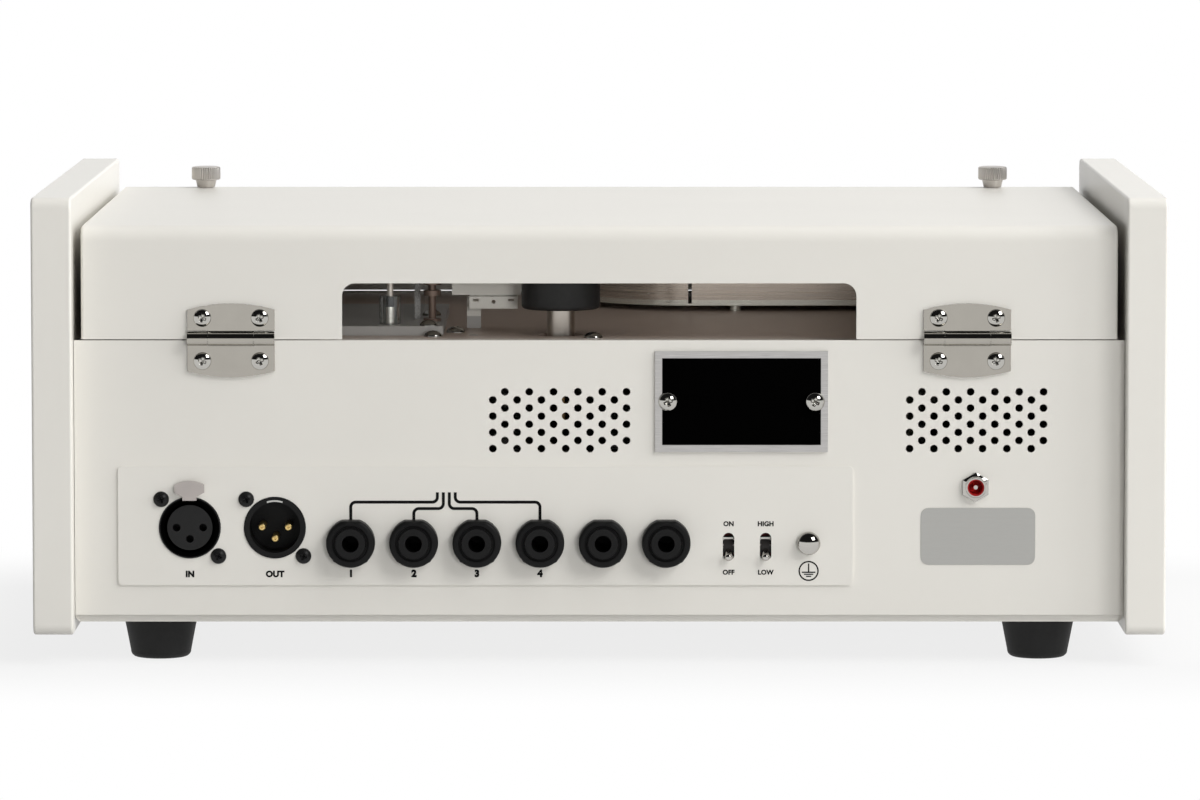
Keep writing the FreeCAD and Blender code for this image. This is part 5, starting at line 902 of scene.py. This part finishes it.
class ECHO_OT_connectors(bpy.types.Operator):
    """Finish the connectors, and add pins, nuts and screws in detail"""

    bl_idname = "tape_echo.connectors"
    bl_label = "Connectors"
    bl_options = {"REGISTER", "UNDO"}

    def execute(self, context):
        plastic, metal = context.scene.echo_plastic, context.scene.echo_metal
        dress(moulded("connector black", shade(plastic.black, 0.8), 0.42, specular=0.14),
              "xlr_output_socket", "jack_sockets")
        dress(socket_finish("input socket black", plastic.black), "xlr_input_socket")
        dress(moulded("tab grey", plastic.grey, 0.5, 1.3, 0.2), "xlr_release_tab")
        dress(insulator_finish("insulator red", plastic.red), "dc_inlet_insulator")
        # painted shade: the switch bodies take a darkened copy of the red
        dress(switch_finish("switch red painted shade", shade(plastic.red, 0.35)), "toggle_switch_bodies")
        chrome = plated("chrome", metal.chrome, 0.07)
        dress(chrome, "dc_inlet_barrel", "tape_stop_lever", "output_level_lever", "power_lever")
        # painted light: the drums get a near-black painted reflection, and each lip piece a pale
        # painted highlight
        self.drums(moulded("drum painted dark reflection", (0.018, 0.016, 0.015), 0.4, 0.7, 0.1),
                   moulded("lip painted highlight", (0.85, 0.84, 0.81), 0.4))
        self.inlet(chrome)
        self.earth(chrome)
        self.pins(plated("contact gold", metal.gold, 0.4))
        self.nuts(moulded("nut black", shade(plastic.black, 0.7), 0.42, specular=0.12))
        spots = [(on_rear, across + side * 11, up - side * 11, PLATE_RISE)
                 for across, up in (INPUT_SOCKET, OUTPUT_SOCKET) for side in (-1, 1)]
        blackened = moulded("blackened steel", plastic.black, 0.3, specular=0.18)
        screws("xlr_screw_heads", "chassis", blackened, "black_steel", "xlr_screws",
               (3.05, 2.1, 1.5, 7), spots)
        # A pale arc over the output socket's latch slot: a painted highlight of the slot's edge.
        arc = polar(np.radians(np.linspace(73, 107, 24)), 10.35)
        window = on_rear(strip(arc, 0.6, 1.12, 1.24), *OUTPUT_SOCKET)
        grey = moulded("latch painted highlight", (0.5, 0.5, 0.48), 0.4)
        Shell(window).piece("painted_latch_highlight", "chassis", grey, "grey_plastic")
        return {"FINISHED"}

    def drums(self, black, grey):
        """The round root of each rear lever: a sector about its pivot, closed off by a pale lip at
        each end. The sector's near-black colour is a painted dark reflection of a plated face, and
        each pale lip is a painted highlight on its bevelled end.
        """
        tilt, pivot = math.radians(21), REAR_FACE - 6.5

        def swung(points, across):
            along, up, out = np.moveaxis(points, -1, 0)
            outwards = pivot + along * math.cos(tilt) + up * math.sin(tilt)
            upwards = SWITCH_LEVEL - along * math.sin(tilt) + up * math.cos(tilt)
            return np.stack([out - across, outwards, upwards], -1) * MM

        def sector(inner, outer, start, end, half):
            angle = np.radians(np.linspace(start, end, 14))
            outline = np.concatenate([polar(angle, outer), polar(angle[::-1], inner)])
            return prism(outline, -half, half)

        for name, across in (("tape_stop", STOP_SWITCH), ("output_level", LEVEL_SWITCH)):
            drum = swung(sector(0.6, 5.6, -50, 50, 1.7), across)
            highlight_lips = [swung(sector(4.6, 5.72, *ends, 2.05), across)
                    for ends in ((50, 58), (-58, -50))]
            Shell(drum).piece(f"{name}_drum", f"{name}_switch", black, "black_plastic")
            Shell(*highlight_lips).piece(f"{name}_lips", f"{name}_switch", grey, "grey_plastic")

    def earth(self, chrome):
        """The earth screw: a cap of a ball on its shank, r = R sin t, z = top - R (1 - cos t)."""
        low, high = box("earth_terminal")
        top, foot, rim = high.y - PLATE_FACE, low.y - PLATE_FACE, (high.x - low.x) / 2
        angle = np.radians(np.linspace(50, 0, 16))
        ball = (rim - 0.15) / math.sin(angle[0])
        cap = np.column_stack([ball * np.sin(angle), top - ball * (1 - np.cos(angle))])
        shank, gap = 2, 0.3
        rows = [(0, foot), (shank, foot), (shank, gap), (rim, gap), (rim, cap[0, 1] - 0.25), *cap]
        dome = on_rear(turned(rows, 64), *EARTH_SCREW, PLATE_RISE)
        Shell(dome).piece("earth_dome", "earth_screw", chrome, "bright_chrome", ["earth_terminal"])

    def inlet(self, chrome):
        """The supply inlet's threaded barrel, centre pin and hexagon nut with a chamfered front.

        The hexagon is r(v) = half / cos(w), with w the angle from the nearest flat's middle.
        """
        low, high = box("dc_inlet_barrel")
        back, front = low.y - REAR_FACE, high.y - REAR_FACE
        half, count, sixth = 4.95, 144, TURN / 6
        angle = np.linspace(0, TURN, count, endpoint=False)
        nearest = (angle + sixth / 2) % sixth - sixth / 2
        hexagon = polar(angle, half / np.cos(nearest))
        shoulder, bore = circle(4.2, count), circle(4.01, count)
        nut = stacked((hexagon, 0), (hexagon, 1.85), (shoulder, 2.4), (bore, 2.4), (bore, 0))
        barrel = [(3.25, back + 3), (4.0, back + 3), (4.0, front - 0.3), (3.75, front),
                  (3.25, front)]
        pin = [(0, back), (1.05, back), (1.05, front - 1.7), (0.8, front - 1.4), (0, front - 1.4)]
        rings = [on_rear(grid, *SUPPLY_INLET) for grid in (nut, turned(barrel, 96))]
        shell = Shell(*rings, wrap_rows=True)
        shell.grid(on_rear(turned(pin, 32), *SUPPLY_INLET))
        shell.piece("inlet_nut_and_pin", "chassis", chrome, "bright_chrome", ["dc_inlet_barrel"],
                    crease=25)

    def pins(self, gold):
        """Three turned contacts with round ends, each with a dimple in its tip."""
        r = 1.45
        profile = [(0, -17.3), (r, -17.3), (r, -1.8), (r * 0.95, -1.35), (r * 0.8, -1.1),
                   (r * 0.6, -1.0), (0.55, -1.0), (0.4, -1.35), (0.0, -1.5)]
        across, up = OUTPUT_SOCKET
        grids = [on_rear(turned(profile, 32), across + side, up + rise)
                 for side, rise in ((-5.1, 0), (5.1, 0), (0, -4.4))]
        Shell(*grids).piece("xlr_contact_pins", "chassis", gold, "gold_contact",
                            ["xlr_output_pins"])

    def nuts(self, black):
        """Round nuts with a flat on top and two lugs below.

        The outline is r(v) = min(outer, flat / sin v), plus two narrow humps. Each of them is
        lug * exp(-t * t), with t the angle from its middle over its width.
        """
        outer, flat, lug, width = 9.4, 8.75, 0.22, 0.06

        def edge(angle):
            up = np.sin(angle)
            top = np.clip(outer - flat / np.clip(up, 1e-6, None), 0, None) * (up > 0.5)
            away = [(angle - math.radians(middle)) / width for middle in (228, 312)]
            return top - lug * sum(np.exp(-(share ** 2)) for share in away)

        rows = [(6.0, 0.8), (outer, 0.8, 1), (outer, 6.2, 1), (9.25, 6.9, 1), (8.8, 7.4, 1),
                (8.0, 7.6), (7.1, 7.6), (6.9, 7.0), (6.5, 6.9), (6.25, 7.3), (6.0, 7.3)]
        grids = [on_rear(turned(rows, 144, edge), across, JACK_LEVEL) for across in JACKS]
        Shell(*grids, wrap_rows=True).piece("jack_nuts_round", "chassis", black, "black_plastic",
                                            ["jack_nuts"])


class ECHO_OT_thumbscrews(bpy.types.Operator):
    """Make both knurled lid screws: ridges run round a turned head as a cosine of the angle"""

    bl_idname = "tape_echo.thumbscrews"
    bl_label = "Thumbscrews"
    bl_options = {"REGISTER", "UNDO"}

    def execute(self, context):
        steel = satin("knurled steel", (0.64, 0.61, 0.58), 0.36)
        profile = [(0, -7.5), (1.8, -7.5), (2, -7.2), (2, -1.5), (2.5, -1.5), (2.5, 0.3),
                   (3.6, 0.3), (3.7, 0.45), (4.4, 3.25), (5.3, 3.4), (5.75, 3.55), (6.0, 4.0, 1),
                   (6.0, 8.3, 1), (5.7, 8.75), (5.3, 8.9), (4.9, 8.9), (4.7, 8.7), (0, 8.7)]
        depth, ridges = 0.4, 36

        def knurl(angle):
            return depth * (0.5 + 0.5 * np.cos(ridges * angle))

        grid = turned(profile, 8 * ridges, knurl)
        spread, inset, lid_top = 164.8, 12, 169.3
        for side, way in (("left", -1), ("right", 1)):
            placed = upright(grid, way * spread, FRONT_FACE + inset, lid_top)
            Shell(placed).piece(f"knurled_thumbscrew_{side}", f"thumbscrew_{side}", steel,
                                "bright_chrome", [f"lid_thumbscrew_{side}"], crease=50)
        return {"FINISHED"}


class ECHO_OT_rear_print(bpy.types.Operator):
    """Print the marks of the connector plate"""

    bl_idname = "tape_echo.rear_print"
    bl_label = "Rear print"
    bl_options = {"REGISTER", "UNDO"}

    def execute(self, context):
        marks, shell = context.scene.echo_print, Shell()
        sunk, top = PLATE_RISE - 0.02, PLATE_RISE + PRINT_HEIGHT
        words = [("IN", INPUT_SOCKET[0], 34.7, 3.2, 0.06),
                 ("OUT", OUTPUT_SOCKET[0], 34.7, 3.2, 0.06)]
        for across, upper, lower in ((STOP_SWITCH, "ON", "OFF"), (LEVEL_SWITCH, "HIGH", "LOW")):
            words += [(upper, across, 54.2, 2.5, 0.045), (lower, across, 35.4, 2.5, 0.045)]
        words += [(str(number + 1), JACKS[number], 34.9, marks.numeral / MM, 0.07)
                  for number in range(4)]
        for text, across, up, size, weight in words:
            shell.word(text, size, on_rear, across, up, PLATE_RISE + PRINT_HEIGHT / 2, weight)
        routes = ((-62.4, 62.7), (-60.1, 60.2), (-57.8, 60.2), (-55.5, 62.7))
        for jack, (start, level) in zip(JACKS, routes):
            corners = [(start, 66.5), (start, level), (jack, level), (jack, 55.0)]
            shell.grid(on_rear(strip(bent_line(corners, 1.9), marks.line / MM, sunk, top)))
        earth = (EARTH_SCREW[0], 36.0)
        shell.grid(on_rear(ring(circle(3.9), circle(3.35), sunk, top), *earth), wrap_rows=True)
        bars = [((0, 2.9), (0, -0.5), 0.5), ((-2.6, -0.5), (2.6, -0.5), 0.5),
                ((-1.8, -1.3), (1.8, -1.3), 0.45), ((-1.0, -2.1), (1.0, -2.1), 0.45)]
        for start, end, width in bars:
            shell.grid(on_rear(strip(np.linspace(start, end, 3), width, sunk, top), *earth))
        shell.piece("rear_print", "chassis", ink("black ink", marks.ink), "black_plastic")
        return {"FINISHED"}


class ECHO_OT_controls(bpy.types.Operator):
    """Finish the knobs, meter and lamp, and print the control panel"""

    bl_idname = "tape_echo.controls"
    bl_label = "Controls"
    bl_options = {"REGISTER", "UNDO"}

    def execute(self, context):
        scene = context.scene
        black, marks = scene.echo_plastic.black, scene.echo_print
        dress(moulded("knob black", shade(black, 1.3), 0.36), "mode_selector_knob",
              *[f"{name}_knob" for name in KNOBS])
        dress(satin("can plating", scene.echo_metal.steel, 0.38), "control_pots")
        dress(meter_finish("meter case", black, (0.78, 0.72, 0.56)), "meter_case")
        dress(meter_window_finish("meter window", (0.95, 0.97, 0.97)), "meter_window")
        dress(moulded("needle black", (0.01, 0.01, 0.01), 0.4), "meter_needle")
        dress(moulded("lamp red", (0.5, 0.02, 0.015), 0.12, coat=0.5), "pilot_lamp")
        white = ink("white ink", (0.75, 0.74, 0.70))
        shell = Shell()
        for name, spot in KNOBS.items():
            self.pointer(name, f"{name}_control", spot, 6.0, 16.8, white)
            self.scale(shell, spot, 13.2, 2.0, range(11), 16.9, 2.4)
        self.pointer("mode_selector", "mode_selector", SELECTOR, 13.4, 21.8, white)
        self.scale(shell, SELECTOR, 25.0, 2.6, range(1, 13), 30.2, 3.4)
        power_switch = -84
        for text, up in (("ON", 52.5), ("OFF", 31.2)):
            shell.word(text, 2.8, on_front, power_switch, up, PRINT_HEIGHT / 2)
        shell.piece("front_print", "chassis", ink("front ink", marks.ink), "black_plastic")
        self.dial(ink("dial ink", (0.02, 0.02, 0.02)), ink("dial red", (0.5, 0.02, 0.02)))
        return {"FINISHED"}

    def pointer(self, name, body, spot, reach, level, white):
        """A white line on a knob's grip, upright at rest."""
        half = 0.4
        outline = [(-half, 2.0), (half, 2.0), (half, reach), (-half, reach)]
        line = on_front(prism(outline, level - 0.05, level + PRINT_HEIGHT), *spot)
        Shell(line).piece(f"{name}_pointer", body, white, "grey_plastic")

    def scale(self, shell, spot, inner, length, numbers, reach, size):
        """Ticks and numbers over 300 degrees round a knob."""
        for number, angle in zip(numbers, np.radians(np.linspace(240, -60, len(numbers)))):
            way = polar(angle)
            line = np.linspace(way * inner, way * (inner + length), 3)
            shell.grid(on_front(strip(line, 0.4, -0.02, PRINT_HEIGHT), *spot))
            shell.word(str(number), size, on_front, *(way * reach + spot), PRINT_HEIGHT / 2)

    def dial(self, black, red):
        """The meter's arc, ticks and numbers, on the dial at the bottom of its recess."""
        depth = FRONT_FACE - box("meter_needle")[1].y - 0.5
        pivot, radius, height = (-104, 72), 23, 0.05
        numbers = ("20", "10", "7", "5", "3", "1", "0", "1", "2", "3")
        angles = np.radians(np.linspace(132, 48, len(numbers)))
        for name, finish, chosen, sweep in (("dial_marks", black, slice(0, 7), (132, 76)),
                                            ("dial_marks_high", red, slice(7, 10), (75, 48))):
            arc = polar(np.radians(np.linspace(*sweep, 40)), radius)
            shell = Shell(on_front(strip(arc, 0.5, 0, height), *pivot, depth))
            for text, angle in zip(numbers[chosen], angles[chosen]):
                way = polar(angle)
                line = np.linspace(way * radius, way * (radius + 2.5), 3)
                shell.grid(on_front(strip(line, 0.35, 0, height), *pivot, depth))
                shell.word(text, 2.6, on_front, *(way * (radius + 5) + pivot), depth)
            shell.piece(name, "chassis", finish, "black_plastic")


class ECHO_OT_transport(bpy.types.Operator):
    """Finish the tape transport and the parts inside the case"""

    bl_idname = "tape_echo.transport"
    bl_label = "Transport"
    bl_options = {"REGISTER", "UNDO"}

    def execute(self, context):
        plastic, metal = context.scene.echo_plastic, context.scene.echo_metal
        dress(plated("turned steel", metal.chrome, 0.16, 0.3), "capstan", "lid_pillars")
        dress(satin("ground steel", metal.post, 0.36), "pinch_arm")
        dress(guide_finish("guides", metal.post), "tape_guides")
        dress(rubbery("roller rubber", plastic.rubber, 0.5), "pinch_roller")
        dress(rubbery("belt rubber", shade(plastic.rubber, 0.8), 0.55), "drive_belt")
        dress(satin("head steel", metal.steel, 0.25), "tape_heads")
        dress(brushed("motor steel", metal.steel, 0.35), "drive_motor")
        dress(plated("bronze", (0.50, 0.33, 0.16), 0.25), "capstan_bearing", "motor_pulley")
        dress(tank_finish("tank aluminium", metal.tank), "tape_tank")
        dress(covers_finish("clear covers", (0.92, 0.95, 0.95)), "clear_covers")
        dress(tape_finish("tape", (0.06, 0.032, 0.02)), "tape_loop")
        dress(board_finish("circuit board", (0.02, 0.12, 0.05)), "main_board")
        profile = [(1.1, 134.7), (1.5, 134.7), (1.55, 134.8), (1.55, 138.8), (1.5, 138.9),
                   (1.1, 138.9)]
        band = upright(turned(profile, 32), 81.8, REAR_FACE - 46.7)
        black = moulded("band black", plastic.black, 0.5)
        Shell(band, wrap_rows=True).piece("rod_band", "chassis", black, "black_plastic")
        return {"FINISHED"}


class ECHO_OT_stage(bpy.types.Operator):
    """Make the floor, the lamps, the world and the camera"""

    bl_idname = "tape_echo.stage"
    bl_label = "Stage"
    bl_options = {"REGISTER", "UNDO"}

    def execute(self, context):
        scene, stage = context.scene, context.scene.echo_stage
        scene.view_settings.view_transform = "Standard"
        mesh = bpy.data.meshes.new("floor")
        corners = [(x * stage.floor / 2, y * stage.floor / 2, 0)
                   for x, y in ((-1, -1), (1, -1), (1, 1), (-1, 1))]
        mesh.from_pydata(corners, [], [(0, 1, 2, 3)])
        mesh.materials.append(self.paper())
        floor = bpy.data.objects.new("floor", mesh)
        scene.collection.objects.link(floor)
        self.lamp("key", (-3.3, 3.6, 3.4), 2.2, stage.key)
        self.lamp("front", (-1.2, 4.9, 0.5), 1.0, stage.front)
        self.lamp("top", (-1.3, 0.3, 2.4), 2.8, stage.top)
        self.lamp("side", (-3.5, 0.9, 1.1), 1.6, stage.side)
        self.lamp("fill", (-0.4, -3.4, 0.45), 1.6, stage.fill)
        self.lamp("inner", (0.0, 0.03, 0.162), 0.2, stage.inner, (0.0, 0.03, 0.09))
        self.world(scene, stage.air)
        camera = bpy.data.objects.new("camera", bpy.data.cameras.new("camera"))
        scene.collection.objects.link(camera)
        camera.data.lens, camera.data.sensor_width = stage.lens, 36.0
        camera.location = (-0.0003, REAR_FACE * MM + stage.distance, stage.height)
        camera.rotation_euler = (math.pi / 2 - stage.pitch, 0, math.pi)
        scene.camera = camera
        return {"FINISHED"}

    def paper(self):
        """White paper under the unit, that turns into an even white glow further out.

        The glow's share rises with the distance from a rectangle as large as the unit. Only the
        camera, gloss and clear parts see it, so it lights nothing.
        """
        made = Finish("floor paper")
        across, along, _ = made.axes()
        away = made.length(made.larger(made.size(across) - 200, 0.0),
                           made.larger(made.size(along) - 120, 0.0))
        mirrored = made.larger(made.ray("Glossy"), made.ray("Transmission"))
        seen = made.larger(made.ray("Camera"), mirrored)
        share = (0.82 + 0.18 * made.step(away, 20, 160)) * seen
        tone = made.blend(made.noise(1.5), (0.56, 0.56, 0.56), (0.58, 0.58, 0.58))
        glow = made.node("ShaderNodeEmission", None, {"Color": (1, 1, 1, 1), "Strength": 1.0})
        return made.mixed(share, made.shader(tone, 0.9, specular=0.0), glow)

    def lamp(self, name, spot, side, level, target=(0.0, 0.0, 0.09)):
        """A square softbox aimed at the unit; a level of 1 shows a colour as it is written.

        Gloss shows the key lamp alone.
        """
        data = bpy.data.lights.new(name, "AREA")
        data.size = side
        away = np.array(spot) - target
        data.energy = level * math.pi ** 2 * float(away @ away)
        made = bpy.data.objects.new(name, data)
        bpy.context.scene.collection.objects.link(made)
        made.location = spot
        made.visible_camera = False
        made.visible_glossy = name == "key"
        flat = math.hypot(away[0], away[1])
        made.rotation_euler = (math.atan2(flat, away[2]), 0, math.atan2(away[0], -away[1]))

    def world(self, scene, air):
        """White to the camera, a dim even sky for light, and dark above the camera for gloss."""
        world = bpy.data.worlds.new("studio")
        world.use_nodes = True
        scene.world = world
        nodes = Nodes(world.node_tree)
        place = nodes.node("ShaderNodeTexCoord", output="Generated")
        behind, up = [nodes.node("ShaderNodeSeparateXYZ", None, {0: place}, number)
                      for number in (1, 2)]
        sky = 1 - nodes.step(behind, -0.25, 0.2) * nodes.step(up, 0.10, 0.16) * 0.985
        glossy = nodes.ray("Glossy")
        white = nodes.larger(nodes.ray("Camera"), nodes.ray("Transmission"))
        plain = 1 - nodes.larger(white, glossy)
        level = plain * air + glossy * (1 - white) * sky + white
        light = nodes.node("ShaderNodeBackground", None, {"Color": (1, 1, 1, 1), "Strength": level})
        nodes.node("ShaderNodeOutputWorld", None, {0: light})


OPERATORS = (
    ECHO_OT_case,
    ECHO_OT_hinges,
    ECHO_OT_plates,
    ECHO_OT_connectors,
    ECHO_OT_thumbscrews,
    ECHO_OT_rear_print,
    ECHO_OT_controls,
    ECHO_OT_transport,
    ECHO_OT_stage,
)


class ECHO_PT_panel(bpy.types.Panel):
    """Settings and operators of the tape echo unit"""

    bl_idname = "ECHO_PT_panel"
    bl_label = "Tape echo"
    bl_space_type = "VIEW_3D"
    bl_region_type = "UI"
    bl_category = "Tape echo"

    def draw(self, context):
        for name, group in GROUPS.items():
            box = self.layout.box()
            box.label(text=group.__doc__)
            for field in group.__annotations__:
                box.prop(getattr(context.scene, name), field)
        for operator in OPERATORS:
            self.layout.operator(operator.bl_idname)


def register():
    for name, group in GROUPS.items():
        bpy.utils.register_class(group)
        setattr(bpy.types.Scene, name, bpy.props.PointerProperty(type=group))
    for item in (*OPERATORS, ECHO_PT_panel):
        bpy.utils.register_class(item)


def unregister():
    for item in (ECHO_PT_panel, *reversed(OPERATORS)):
        bpy.utils.unregister_class(item)
    for name, group in reversed(GROUPS.items()):
        delattr(bpy.types.Scene, name)
        bpy.utils.unregister_class(group)


def main():
    register()
    for operator in OPERATORS:
        family, name = operator.bl_idname.split(".")
        getattr(getattr(bpy.ops, family), name)()


if __name__ == "__main__":
    main()
